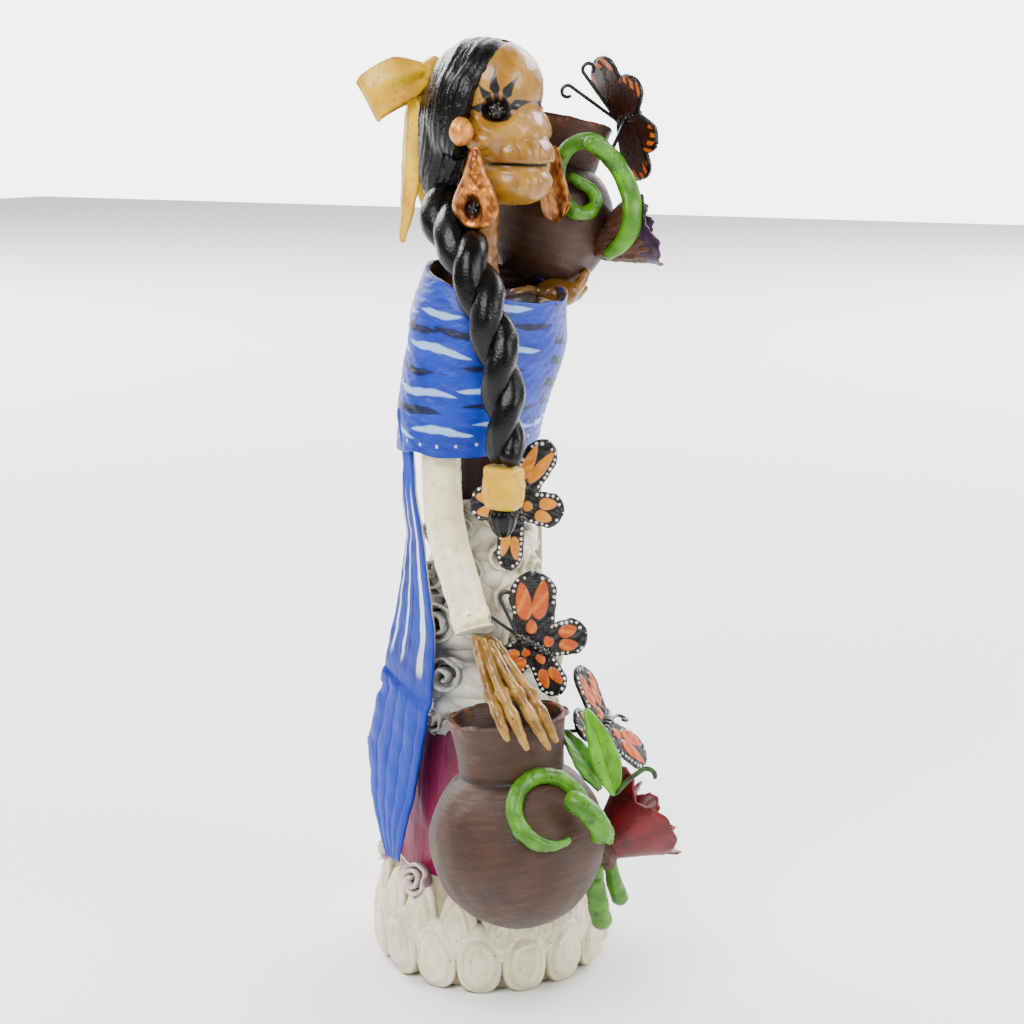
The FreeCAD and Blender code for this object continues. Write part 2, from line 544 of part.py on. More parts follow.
def build_butterfly(name, facts):
    place = axes(facts["centre"], facts["face"], facts["head"].cross(facts["face"]))
    trunk = ellipsoid(Vector(0, 0, 0.4), (2.0, 7.0, 2.0))
    wings = []
    for facts_of_wing in facts["wings"]:
        wings.append(carve(wing(*facts_of_wing), trunk, *wings))
    prefix = "butterfly_" + name + "_"
    keep(prefix + "body", placed(trunk, place))
    keep(prefix + "wings", placed(Part.makeCompound([s for w in wings for s in w.Solids]), place))
    root, inside = facts["root"], 3.0
    line = (facts["centre"] - root).normalize()
    wing_tools = (NODES[prefix + "body"], NODES[prefix + "wings"])
    keep(prefix + "stem", rod(root - line * inside, facts["centre"], WIRE_R), *wing_tools)
    hole = rod(root - line * (inside + 1.2), root + line * 5.0, WIRE_HOLE_R)
    NODES[facts["host"]] = carve(NODES[facts["host"]], hole)
    NODES["rose_garland"] = carve(NODES["rose_garland"], rod(root - line, facts["centre"], WIRE_ROOM_R))
    if not facts["feelers"]:
        return
    feelers, hook_r = [], 1.9
    nose = placed(Part.Vertex(Vector(0, 6.0, 0.4)), place).Point
    bend = facts["feelers"][0].cross(facts["feelers"][1]).normalize()
    for hand, way in zip((-1, 1), facts["feelers"]):
        knee = nose + way * facts["reach"]
        outward = bend.cross(way) * hand
        hook = curl(knee + outward * hook_r, bend, outward * -1, hook_r, WIRE_R, 230 * hand, False)
        feelers.append(carve(rod(nose, knee, WIRE_R).fuse(hook), *wing_tools, *feelers))
    keep(prefix + "feelers", Part.makeCompound([s for f in feelers for s in f.Solids]))


def main():
    skirt = build_skirt()
    chest = build_torso()
    hem = [NODES["hem_" + n] for n in ("band", "petals", "rosettes")]
    lower_full = build_pot("pot_lower", LOWER_POT, skirt, *hem)
    upper_full = build_pot("pot_upper", UPPER_POT)
    build_arms(chest)
    build_right_hand(NODES["pot_lower"])
    build_left_hand(upper_full)
    build_shawl()
    NODES["shawl_wrap"] = carve(NODES["shawl_wrap"], NODES["hand_left"], upper_full)
    build_lower_flowers(LOWER_POT, lower_full, skirt)
    build_upper_flowers(UPPER_POT, upper_full)
    build_roses(skirt, lower_full)
    build_head()
    for name, facts in BUTTERFLIES.items():
        build_butterfly(name, facts)
    os.makedirs("parts", exist_ok=True)
    for name, shape in NODES.items():
        if not shape.isValid() or not shape.Solids:
            print("check this piece:", name, shape.isValid(), len(shape.Solids))
        shape.exportStep("parts/" + name + ".step")
    print(len(NODES), "nodes,", sum(len(s.Solids) for s in NODES.values()), "solids")


main()
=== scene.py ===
import bmesh
import bpy
import math
import numpy as np
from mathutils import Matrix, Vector


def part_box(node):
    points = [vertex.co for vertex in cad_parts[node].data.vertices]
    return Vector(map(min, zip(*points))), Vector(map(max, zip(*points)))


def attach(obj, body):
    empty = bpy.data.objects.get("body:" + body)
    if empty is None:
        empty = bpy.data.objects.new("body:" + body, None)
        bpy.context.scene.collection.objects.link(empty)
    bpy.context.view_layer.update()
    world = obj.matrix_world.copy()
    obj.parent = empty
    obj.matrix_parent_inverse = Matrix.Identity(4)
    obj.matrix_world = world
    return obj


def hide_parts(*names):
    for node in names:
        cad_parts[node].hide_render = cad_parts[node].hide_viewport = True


# A catrina water carrier of painted clay. Lengths are in millimetres until a mesh is made, and the
# figure faces -Y. ALONG and SIDE are the two level directions that the pots and hands are set out on.
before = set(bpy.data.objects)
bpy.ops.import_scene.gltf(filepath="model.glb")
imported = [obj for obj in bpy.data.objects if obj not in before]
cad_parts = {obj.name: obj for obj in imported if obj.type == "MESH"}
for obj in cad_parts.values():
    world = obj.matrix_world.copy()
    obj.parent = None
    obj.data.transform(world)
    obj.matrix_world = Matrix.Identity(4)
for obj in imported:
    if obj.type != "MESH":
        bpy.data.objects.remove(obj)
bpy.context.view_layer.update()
MM = 0.001


# ---- points, curves and smooth random fields ----
def vec(*p):
    return np.array(p, float)


def unit(v):
    v = np.asarray(v, float)
    return v / np.maximum(np.linalg.norm(v, axis=-1, keepdims=True), 1e-9)


ALONG, SIDE, UP = vec(0.469, -0.883, 0), vec(-0.883, -0.469, 0), vec(0, 0, 1)


def spot(along, side, up):
    """A point from its distances along ALONG, SIDE and UP."""
    return ALONG * along + SIDE * side + UP * up


def direction(along, side, up):
    return unit(spot(along, side, up))


def set_out(*rows):
    """Line stations (x, y, z, radius) from rows of (along, side, up, radius)."""
    return [(*spot(*row[:3]), row[3]) for row in rows]


def moved(p, *steps):
    """p moved by each (distances, direction) in turn, where the distances may be a grid."""
    for distance, way in steps:
        p = p + np.asarray(distance)[..., None] * way
    return p


def blend(a, b, t):
    return a + (b - a) * t


def ease(x, low, high):
    t = np.clip((x - low) / (high - low), 0, 1)
    return t * t * (3 - 2 * t)


def peak(x, centre, width):
    return np.exp(-(((x - centre) / width) ** 2))


def ripple(points, wave, seed, octaves=2):
    """A smooth random field, about -1 to 1, whose features are about wave across."""
    dice = np.random.default_rng(seed)
    total = 0.0
    weight = 0.0
    for octave in range(octaves):
        share = 0.5**octave
        for _ in range(6):
            k = unit(dice.normal(size=3)) * dice.uniform(0.6, 1.4) * 2 * math.pi / (wave / 2.3**octave)
            total = total + share * np.sin(points @ k + dice.uniform(0, 2 * math.pi))
        weight += share * 2.45
    return total / weight


def spline(stations, n, dense_ends=0.0):
    """n rows of a smooth line through the stations, whose extra columns are carried along."""
    p = np.asarray(stations, float)
    ext = np.vstack([2 * p[0] - p[1], p, 2 * p[-1] - p[-2]])
    t = np.linspace(0, 1, n)
    t = (t - dense_ends * np.sin(2 * math.pi * t) / (2 * math.pi)) * (len(p) - 1)
    i = np.minimum(t.astype(int), len(p) - 2)
    u = (t - i)[:, None]
    a, b, c, d = ext[i], ext[i + 1], ext[i + 2], ext[i + 3]
    return 0.5 * (2 * b + (c - a) * u + (2 * a - 5 * b + 4 * c - d) * u**2 + (3 * b - a - 3 * c + d) * u**3)


def carried(line, hint):
    """Tangents and two square directions carried along a line, the first as near hint as it can be."""
    tangent = unit(np.gradient(line, axis=0))
    first = np.zeros_like(line)
    now = np.asarray(hint, float)
    for i, t in enumerate(tangent):
        now = unit(now - t * (now @ t))
        first[i] = now
    return tangent, first, np.cross(tangent, first)


class Tube:
    """A round skin along a smooth line of (x, y, z, radius) stations, with rounded or flat ends."""

    def __init__(self, stations, n=60, m=24, hint=(0.1, 0.2, 1), wide=1.0, start_round=True, end_round=True):
        rows = spline(stations, n, 0.7)
        line, radius = rows[:, :3], np.maximum(rows[:, 3], 0.02)
        _, first, second = carried(line, hint)
        length = np.concatenate([[0], np.cumsum(np.linalg.norm(np.diff(line, axis=0), axis=1))])
        shrink = np.ones(n)
        if start_round:
            shrink = np.minimum(shrink, np.sqrt(np.clip(1 - (1 - length / radius).clip(0) ** 2, 0, 1)))
        if end_round:
            left = length[-1] - length
            shrink = np.minimum(shrink, np.sqrt(np.clip(1 - (1 - left / radius).clip(0) ** 2, 0, 1)))
        radius = radius * np.maximum(shrink, 0.02)
        self.s = np.linspace(0, 1, n)[:, None] * np.ones((1, m))
        self.mm = length[:, None] * np.ones((1, m))
        self.a = np.linspace(0, 2 * math.pi, m, endpoint=False)[None, :] * np.ones((n, 1))
        self.out = unit(np.cos(self.a)[..., None] * first[:, None] + np.sin(self.a)[..., None] * second[:, None])
        across = np.cos(self.a)[..., None] * first[:, None] * wide + np.sin(self.a)[..., None] * second[:, None]
        self.p = line[:, None] + across * radius[:, None, None]
        self.shrink = shrink[:, None] * np.ones((1, m))

    def swell(self, height):
        """Raises the skin by height, fading out at rounded ends."""
        self.p = self.p + self.out * (height * self.shrink)[..., None]


class Bits:
    """Collects painted skins and makes one piece of them."""

    def __init__(self):
        self.points, self.paint, self.dark, self.faces, self.count = [], [], [], [], 0

    def add(self, p, paint, dark=0.0, caps=True):
        """Adds an (n, m, 3) grid whose rows are rings; caps fills in the first and the last ring."""
        n, m = p.shape[:2]
        ids = np.arange(n * m).reshape(n, m) + self.count
        a, b = ids[:-1], ids[1:]
        quads = np.stack([a, np.roll(a, -1, 1), np.roll(b, -1, 1), b], -1)
        self.faces += quads.reshape(-1, 4).tolist()
        if caps:
            self.faces += [ids[0].tolist()[::-1], ids[-1].tolist()]
        self.points.append(p.reshape(-1, 3))
        self.paint.append(np.broadcast_to(paint, p.shape).reshape(-1, 3))
        self.dark.append(np.broadcast_to(dark, p.shape[:2]).reshape(-1))
        self.count += n * m

    def shell(self, front, back, front_paint, back_paint, dark=0.0):
        """A closed piece between two open grids, joined all round the rim."""
        n, m = front.shape[:2]
        shade = np.broadcast_to(dark, (n, m))
        front_paint = np.broadcast_to(front_paint, front.shape)
        back_paint = np.broadcast_to(back_paint, front.shape)
        self.add(np.concatenate([front, back[:, ::-1]], 1), np.concatenate([front_paint, back_paint[:, ::-1]], 1),
                 np.concatenate([shade, shade[:, ::-1]], 1), caps=False)
        first = self.count - n * 2 * m
        for row in (0, n - 1):
            ids = first + row * 2 * m + np.arange(2 * m)
            near, far = ids[:m], ids[m:][::-1]
            self.faces += np.stack([near[:-1], near[1:], far[1:], far[:-1]], -1).tolist()

    def slab(self, p, thickness, paint, dark=0.0, back_paint=None):
        """A thin piece whose middle is the open grid p; thickness may vary and thins at the rim."""
        n, m = p.shape[:2]
        normal = unit(np.cross(np.gradient(p, axis=0), np.gradient(p, axis=1)))
        u, v = np.linspace(-1, 1, n)[:, None], np.linspace(-1, 1, m)[None, :]
        rim = np.sqrt(np.clip(1 - np.abs(u) ** 14, 0, 1)) * np.sqrt(np.clip(1 - np.abs(v) ** 14, 0, 1))
        half = normal * (np.asarray(thickness) * (0.12 + 0.88 * rim) / 2)[..., None]
        self.shell(p + half, p - half, paint, paint if back_paint is None else back_paint, dark)

    def ball(self, centre, radii, z_axis, x_hint, paint, dark=0.0, n=20, m=28, swell=None):
        """An ellipsoid of n by m points; swell gives its unevenness from the unit sphere's points."""
        z = unit(z_axis)
        y = unit(np.cross(z, x_hint))
        x = np.cross(y, z)
        t = np.linspace(0.02, math.pi - 0.02, n)[:, None]
        a = np.linspace(0, 2 * math.pi, m, endpoint=False)[None, :]
        local = np.stack([np.sin(t) * np.cos(a), np.sin(t) * np.sin(a), np.cos(t) * np.ones_like(a)], -1)
        size = np.asarray(radii, float)
        scale = 1.0 if swell is None else 1 + swell(local)[..., None]
        p = centre + (local * size * scale) @ np.stack([x, y, z])
        self.add(p, paint, dark)

    def make(self, name, finish, body="figure", stands_for=(), slot=None):
        """Makes the piece, lets it ride on its body and hides the CAD nodes that it stands for."""
        mesh = bpy.data.meshes.new(name)
        points = np.vstack(self.points) * MM
        mesh.from_pydata(points.tolist(), [], self.faces)
        shaper = bmesh.new()
        shaper.from_mesh(mesh)
        bmesh.ops.recalc_face_normals(shaper, faces=shaper.faces)
        shaper.to_mesh(mesh)
        shaper.free()
        paint = mesh.color_attributes.new("paint", "FLOAT_COLOR", "POINT")
        rgba = np.ones((len(points), 4))
        rgba[:, :3] = np.vstack(self.paint)
        paint.data.foreach_set("color", rgba.ravel())
        # The dark attribute: mostly painted shade in hollows, creases and under parts.
        dark = mesh.attributes.new("dark", "FLOAT", "POINT")
        dark.data.foreach_set("value", np.concatenate(self.dark))
        mesh.polygons.foreach_set("use_smooth", [True] * len(mesh.polygons))
        obj = bpy.data.objects.new(name, mesh)
        bpy.context.scene.collection.objects.link(obj)
        obj.data.materials.append(finish)
        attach(obj, body)
        if stands_for:
            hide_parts(*stands_for)


def rgb(r, g, b):
    """A paint colour from everyday 0-255 values."""
    c = np.array([r, g, b], float) / 255
    c = np.where(c <= 0.04045, c / 12.92, ((c + 0.055) / 1.055) ** 2.4)
    return np.clip(c**1.45, 0.0006, 0.92)


# ---- finishes ----
def ramp(tree, value, low, high, to_low=0.0, to_high=1.0, curve="LINEAR"):
    """A node that takes low..high to to_low..to_high."""
    node = tree.nodes.new("ShaderNodeMapRange")
    node.interpolation_type = curve
    for socket, number in (("From Min", low), ("From Max", high), ("To Min", to_low), ("To Max", to_high)):
        node.inputs[socket].default_value = number
    tree.links.new(value, node.inputs["Value"])
    return node.outputs["Result"]


def finish(name, rough=0.4, coat=0.0, vary=0.16, grain=1.0, bump=0.25, dark_colour=(0.02, 0.014, 0.01), speck=None,
           specks=0.0, metal=0.0, stretch=(1, 1, 1), strokes=0.0, base=None, base_two=None, gloss=0.35):
    """Hand-painted clay: the painted colour or base, uneven washes, painted shade in hollows, creases and under
    parts, specks and brush marks.
    """
    mat = bpy.data.materials.new(name)
    mat.use_nodes = True
    tree = mat.node_tree
    link = tree.links.new
    shader = tree.nodes["Principled BSDF"]
    place = tree.nodes.new("ShaderNodeTexCoord")

    def noise(scale, detail, mapping=None):
        node = tree.nodes.new("ShaderNodeTexNoise")
        node.inputs["Scale"].default_value = scale
        node.inputs["Detail"].default_value = detail
        source = place.outputs["Object"]
        if mapping:
            turned = tree.nodes.new("ShaderNodeMapping")
            turned.inputs["Scale"].default_value = mapping
            link(source, turned.inputs["Vector"])
            source = turned.outputs["Vector"]
        link(source, node.inputs["Vector"])
        return node.outputs["Fac"]

    def mix(kind, share, one, two):
        node = tree.nodes.new("ShaderNodeMix")
        node.data_type = "RGBA"
        node.blend_type = kind
        node.clamp_factor = True
        for socket, value in (("Factor", share), ("A", one), ("B", two)):
            wanted = "VALUE" if socket == "Factor" else "RGBA"
            slot = next(s for s in node.inputs if s.name == socket and s.type == wanted)
            if isinstance(value, bpy.types.NodeSocket):
                link(value, slot)
            elif socket == "Factor":
                slot.default_value = value
            else:
                slot.default_value = (*value, 1)
        return next(s for s in node.outputs if s.type == "RGBA")

    washes = noise(70, 5)
    fine = noise(900 / grain, 3)
    if base is None:
        attribute = tree.nodes.new("ShaderNodeAttribute")
        attribute.attribute_name = "paint"
        colour = attribute.outputs["Color"]
    else:
        colour = mix("MIX", ramp(tree, washes, 0.35, 0.65), base, base_two)
    shade = mix("MIX", ramp(tree, washes, 0.3, 0.7), (1 - vary,) * 3, (1 + vary * 0.6,) * 3)
    colour = mix("MULTIPLY", 1.0, colour, shade)
    colour = mix("MULTIPLY", ramp(tree, fine, 0.35, 0.75, 0.0, 0.5), colour, (1 - vary,) * 3)
    if specks:
        colour = mix("MIX", ramp(tree, noise(1100, 1), 0.72 - specks * 0.1, 0.76 - specks * 0.1), colour, speck)
    # The dark attribute mixes in the dark colour: mostly painted shade in hollows, creases and under parts.
    hollow = tree.nodes.new("ShaderNodeAttribute")
    hollow.attribute_name = "dark"
    colour = mix("MIX", hollow.outputs["Fac"], colour, dark_colour)
    link(colour, shader.inputs["Base Color"])
    link(ramp(tree, washes, 0.3, 0.7, rough - 0.06, rough + 0.08), shader.inputs["Roughness"])
    shader.inputs["Metallic"].default_value = metal
    shader.inputs["Coat Weight"].default_value = coat
    shader.inputs["Specular IOR Level"].default_value = gloss
    shader.inputs["Coat Roughness"].default_value = 0.12
    height = fine
    if strokes:
        brush = noise(420, 3, stretch)
        adder = tree.nodes.new("ShaderNodeMath")
        adder.operation = "MULTIPLY_ADD"
        adder.inputs[1].default_value = strokes
        link(brush, adder.inputs[0])
        link(fine, adder.inputs[2])
        height = adder.outputs[0]
    relief = tree.nodes.new("ShaderNodeBump")
    relief.inputs["Strength"].default_value = bump
    relief.inputs["Distance"].default_value = 0.0004
    link(height, relief.inputs["Height"])
    link(relief.outputs["Normal"], shader.inputs["Normal"])
    return mat


# Each finish: name, roughness, coat, unevenness, grain, relief, colour of the painted shade in hollows and creases,
# then specks or brush marks.
RUST = rgb(120, 60, 30)
BLACK_SPECK = rgb(40, 34, 26)
SKIN = finish("skin clay", 0.38, 0.28, 0.14, 1.4, 0.18, rgb(58, 34, 12), BLACK_SPECK, 0.15)
HAIR = finish("hair paint", 0.27, 0.0, 0.3, 0.7, 0.45, (0.0008, 0.0008, 0.001), gloss=0.22)
SHAWL = finish("shawl paint", 0.46, 0.0, 0.14, 1.2, 0.25, rgb(16, 24, 70), stretch=(1, 1, 0.25), strokes=0.8)
BLOUSE = finish("blouse paint", 0.34, 0.4, 0.05, 1.6, 0.2, rgb(120, 96, 70), RUST, 0.04)
SKIRT = finish("skirt paint", 0.5, 0.1, 0.2, 1.2, 0.3, rgb(30, 8, 26), stretch=(1, 1, 0.2), strokes=0.8)
PETAL = finish("petal paint", 0.4, 0.3, 0.07, 1.4, 0.35, rgb(112, 98, 70), rgb(120, 100, 72), 0.12)
ROSE = finish("rose paint", 0.45, 0.25, 0.12, 1.4, 0.4, rgb(44, 40, 38))
POT = finish("pot clay", 0.55, 0.0, 0.16, 0.9, 0.4, rgb(30, 19, 13), stretch=(1, 1, 5), strokes=1.0)
LEAF = finish("leaf paint", 0.42, 0.06, 0.15, 1.3, 0.35, rgb(22, 50, 10), rgb(48, 80, 20), 0.25)
RED = finish("red petals", 0.5, 0.12, 0.2, 1.2, 0.45, rgb(44, 4, 10))
PURPLE = finish("purple petals", 0.5, 0.08, 0.2, 1.2, 0.45, rgb(22, 6, 18))
RIBBON = finish("ribbon paint", 0.42, 0.1, 0.09, 1.3, 0.3, rgb(130, 74, 10), RUST, 0.08)
COPPER = finish("copper paint", 0.34, 0.1, 0.22, 0.8, 0.6, rgb(60, 32, 14), metal=0.7)
BEAD = finish("glass beads", 0.16, 0.2, 0.2, 1.0, 0.05, (0.001, 0.001, 0.001))
WING = finish("wing paint", 0.36, 0.35, 0.14, 1.1, 0.4, (0.002, 0.002, 0.002))
WIRE = finish("wire paint", 0.35, 0.4, 0.25, 0.7, 0.3, (0.002, 0.002, 0.002))


# ---- the skirt's shape, which the hem and the roses sit on ----
SKIRT_SHAPE = vec(-2, 32.6, 16, 32.2, 38, 30.4, 66, 26.6, 96, 21.8, 126, 16.8, 144, 14.6, 158, 13.4).reshape(-1, 2)
SKIRT_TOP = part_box("skirt")[1].z / MM


def around(angle, radius, z):
    """A point at an angle in degrees from the front, turning to the figure's right."""
    a = np.radians(angle)
    return np.stack([-radius * np.sin(a), -radius * np.cos(a), z + 0 * a], -1)


def on_skirt(angle, z, out=0.0):
    """A point on the skirt, raised by out, at an angle in degrees and a height."""
    angle, z = np.broadcast_arrays(angle, z)
    radius = np.interp(z, SKIRT_SHAPE[:, 0], SKIRT_SHAPE[:, 1])
    lean = np.stack([-2.2 * z / 144, 4.2 * z / 144, 0 * z], -1)
    return around(angle, radius + out, z) + lean


def skirt_piece():
    """The skirt's painted cone, open underneath."""
    bits = Bits()
    z = np.linspace(0.15, SKIRT_TOP, 170)[:, None]
    angle = np.linspace(0, 360, 260, endpoint=False)[None, :]
    at = on_skirt(angle, z)
    worn = 0.35 * ripple(at, 26, 3) + 0.12 * ripple(at * vec(1, 1, 0.15), 2.6, 4) - 0.3
    skin = on_skirt(angle, z, worn)
    inside = on_skirt(angle, z, -2.5)[::-1]
    p = np.concatenate([skin, inside, skin[:1]])
    # Magenta turns to purple towards the top: painted shade under the shawl.
    magenta, purple = rgb(158, 38, 100), rgb(70, 18, 58)
    t = ease(z + 9 * ripple(at * vec(1, 1, 0.3), 16, 5), 40, 108)[..., None]
    colour = blend(magenta, purple, t) * (1 + 0.12 * ripple(at * vec(1, 1, 0.12), 4, 6))[..., None]
    colour = blend(colour, rgb(186, 88, 140), 0.35 * (ease(z, 30, 14) * np.ones_like(angle))[..., None])
    clay = np.broadcast_to(rgb(150, 84, 52), inside.shape)
    bits.add(p, np.concatenate([colour, clay, colour[:1]]), 0.0, caps=False)
    bits.make("skirt_painted", SKIRT, stands_for=["skirt"], slot="skirt_paint")


def rosette(bits, centre, axis, radius, depth, seed, light, shade, turns=2.6):
    """A coiled strip of clay with a ruffled, flaring edge, on a low pad."""
    dice = np.random.default_rng(seed)
    z = unit(axis)
    x = unit(np.cross(vec(0.3, 0.2, 1) if abs(z[2]) < 0.9 else vec(1, 0, 0), z))
    y = np.cross(z, x)
    t = np.linspace(0, 1, 150)[:, None]
    a = np.linspace(0, 2 * math.pi, 14, endpoint=False)[None, :]
    theta = t * turns * 2 * math.pi + dice.uniform(0, 6.28)
    rho = radius * (0.10 + 0.80 * t**0.85) * (1 + 0.07 * np.sin(3 * theta + dice.uniform(0, 6)))
    thick = radius * 0.115
    tall = depth * (0.95 - 0.42 * t**2) * 0.5
    height = depth * (0.55 - 0.5 * t**1.6) + 0.10 * radius * t * np.sin(5.0 * theta + seed)
    flare = radius * 0.14 * t * np.sin(a).clip(0)
    dr = thick * np.cos(a) + flare
    dz = tall * np.sin(a)
    r = rho + dr
    p = moved(centre, (r * np.cos(theta), x), (r * np.sin(theta), y), (height + dz, z))
    p = p + 0.2 * ripple(p, 3.2, seed)[..., None] * z
    # The strip's upper side is light, its underside takes the shade colour and is darkened, and the pad below is
    # dark: painted light and shade.
    tone_and_shade = ease(np.sin(a) + 0.5 * ripple(p, 3, seed + 1), -0.5, 1.0)
    bits.add(p, blend(shade, light, tone_and_shade[..., None]), 0.3 * ease(-np.sin(a) + 0 * t, 0.1, 1.0))
    pad = (radius * 0.86, radius * 0.86, depth * 0.5)
    bits.ball(centre - z * depth * 0.15, pad, z, x, shade * 0.5, 0.6, 10, 20)


def hem_pieces():
    """The ring the figure stands on: two rows of pressed petals, and coils above them."""
    bits = Bits()
    cream, grey = rgb(238, 230, 206), rgb(198, 188, 160)
    outline = spline([(31.4, 0.5, 0), (34.6, 0.5, 0), (36.0, 6, 0), (36.4, 15, 0), (35.2, 25, 0), (33.4, 31, 0),
                      (31.7, 35.4, 0), (30.2, 33, 0), (31.2, 18, 0), (31.2, 4, 0), (31.4, 0.5, 0)], 60)[:, :2]
    angle = np.linspace(0, 360, 200, endpoint=False)[None, :]
    band = around(angle, outline[:, :1], outline[:, 1:])
    # The band between the petals is grey and darkened: painted shade.
    bits.add(band + 0.4 * unit(band * vec(1, 1, 0)) * ripple(band, 6, 11)[..., None], grey, 0.35, caps=False)

    def petal(at, outward, lift, half_w, half_h, depth, seed, point):
        """A pressed petal: a dome with an oval ridge and a smaller one inside it."""
        dice = np.random.default_rng(seed)
        rho = np.linspace(0.01, 1, 34)[:, None]
        phi = np.linspace(0, 2 * math.pi, 72, endpoint=False)[None, :]
        side = unit(np.cross(UP, outward))
        up = unit(UP + outward * lift)
        face = unit(np.cross(side, up))
        taper = 1 - point * np.sin(phi).clip(0) ** 1.5
        squared = (np.abs(np.cos(phi)) ** 3 + np.abs(np.sin(phi)) ** 3) ** (-1 / 3.0)
        sx = half_w * rho * np.cos(phi) * squared * taper
        sz = half_h * rho * np.sin(phi) * squared**0.6
        swollen = depth * np.clip(1 - rho**3.2, 0, 1) ** 0.6
        inner = dice.uniform(0.50, 0.60)
        ring = rho * (1 + 0.16 * np.cos(phi - 1.5 + dice.uniform(-0.5, 0.5)) + 0.05 * np.cos(3 * phi + seed))
        swollen = swollen + 0.34 * peak(ring, inner, 0.09) - 0.30 * peak(ring, inner + 0.17, 0.08)
        swollen = swollen + 0.16 * peak(ring, 0.22, 0.08) - 0.20 * peak(ring, 0.36, 0.07)
        p = moved(at, (sx, side), (sz, up), (swollen, face))
        p = p + (0.22 * ripple(p, 5, seed) + 0.07 * ripple(p, 1.6, seed + 1))[..., None] * face
        # The grooves, the rim and the back are darkened: painted shade.
        groove = 0.22 * peak(ring, inner + 0.17, 0.06) + 0.12 * peak(ring, 0.36, 0.05) + 0.5 * ease(rho, 0.95, 1.0)
        tone = ease(ripple(p, 14, seed + 2), -1, 1)[..., None]
        back = p[-1:] - face * (depth + 1.4)
        whole = np.concatenate([p, back])
        bits.add(whole, blend(grey, cream, 0.55 + 0.45 * np.concatenate([tone, tone[-1:]])),
                 np.concatenate([groove, np.full((1, 72), 0.8)]).clip(0, 0.85))

    petals, coil_count = 16, 8
    pitch = 360 / petals
    for i in range(petals):
        low, high = pitch * i, pitch * (i + 0.5)
        petal(around(low, 37.0, 12.2), around(low, 1, 0), -0.04, 7.5, 12.0, 3.0, 100 + i, 0.34)
        petal(around(high, 35.6, 22.5), around(high, 1, 0), -0.16, 6.6, 12.0, 2.4, 140 + i, 0.40)
    bits.make("hem_pressed_petals", PETAL, stands_for=["hem_band", "hem_petals"], slot="petal_white")
    coils = Bits()
    for i in range(coil_count):
        angle = 360 / coil_count * (i + 0.35)
        rosette(coils, around(angle, 34.4, 34.0), around(angle, 1, 0.25), 6.2, 4.2, 170 + i, rgb(224, 216, 204),
                rgb(176, 140, 166))
    coils.make("hem_coils", PETAL, stands_for=["hem_rosettes"], slot="petal_white")


# Each rose's angle in degrees, height and radius.
ROSES = [(112, 148, 5.6), (104, 133, 7.2), (96, 118, 7.6), (88, 102, 7.0), (99, 87, 4.6), (76, 150, 6.0),
         (70, 136, 7.0), (62, 120, 7.0), (38, 154, 5.6), (34, 141, 6.4), (28, 127, 6.8), (24, 112, 7.4),
         (2, 147, 5.8), (-4, 134, 6.2), (-6, 119, 7.0), (-8, 103, 7.4), (-42, 140, 5.6), (-44, 126, 6.4)]


def roses_piece():
    """The garland: a rumpled bed with coiled roses and loose petals on it."""
    bits = Bits()
    z = np.linspace(83, 159, 150)[:, None]
    angle = np.linspace(-56, 122, 230)[None, :]
    bed = on_skirt(angle, z)
    scallop = 7 * np.sin(z / 4.2) + 4 * np.sin(z / 1.9 + 1)
    edge = ease(z + 2.5 * np.sin(angle / 5), 84, 90)
    edge = edge * ease(angle + scallop, -46, -34) * ease(112 - angle + scallop, 0, 12)
    rumple = 1.5 * np.abs(ripple(bed, 20, 190, 1)) ** 0.8 + 0.8 * np.abs(ripple(bed, 10, 191, 1)) ** 0.8
    rise = edge * (2.6 + rumple * 1.5) - 1.5
    bed = on_skirt(angle, z, rise)
    # Raised rumples are lighter, low ones darker, and the side towards the right arm and the lower pot is grey:
    # painted light and shade.
    near = ease(angle, 30, 100)[..., None]
    tone_and_shade = ease(rumple, 0.2, 1.4)[..., None]
    cream = blend(rgb(186, 180, 164), rgb(232, 227, 210), tone_and_shade)
    grey = blend(rgb(112, 112, 112), rgb(172, 172, 170), tone_and_shade)
    bits.slab(bed, 0.8, blend(cream, grey, near), 0.2 * ease(0.5 - rumple, 0, 0.5))
    for i, (angle, z, radius) in enumerate(ROSES):
        # Each rose is greyer towards the right arm and the lower pot: painted shade.
        near = ease(angle, 20, 100)
        light = blend(rgb(236, 231, 214), rgb(176, 176, 174), near)
        shade = blend(rgb(186, 181, 166), rgb(112, 112, 112), near)
        centre = on_skirt(angle, z, 0.6)
        out = around(angle, 1, 0.12)
        rosette(bits, centre, out, radius, radius * 0.95, 200 + i, light, shade, 2.0 + 0.2 * (i % 3))
        dice = np.random.default_rng(300 + i)
        side = unit(np.cross(UP, out))
        up = np.cross(out, side)
        for k in range(4):
            way = dice.uniform(0, 2 * math.pi)
            way = side * math.cos(way) + up * math.sin(way)
            u = np.linspace(-1, 1, 16)[:, None, None]
            v = np.linspace(0, 1, 12)[None, :, None]
            cross = np.cross(out, way)
            p = centre + way * radius * (0.55 + 0.62 * v) + cross * radius * u * (0.78 - 0.2 * v)
            p = p + out * (radius * (0.30 - 0.55 * v - 0.28 * u**2) + 0.09 * radius * np.sin(5 * u + 2.5 * v + k) * v)
            # Loose petals darken towards their base: painted shade.
            bits.slab(p, 1.0, light * (0.92 + 0.08 * v), 0.15 * (1 - v[..., 0]))
    bits.make("rose_coils", ROSE, stands_for=["rose_garland"], slot="rose_white")


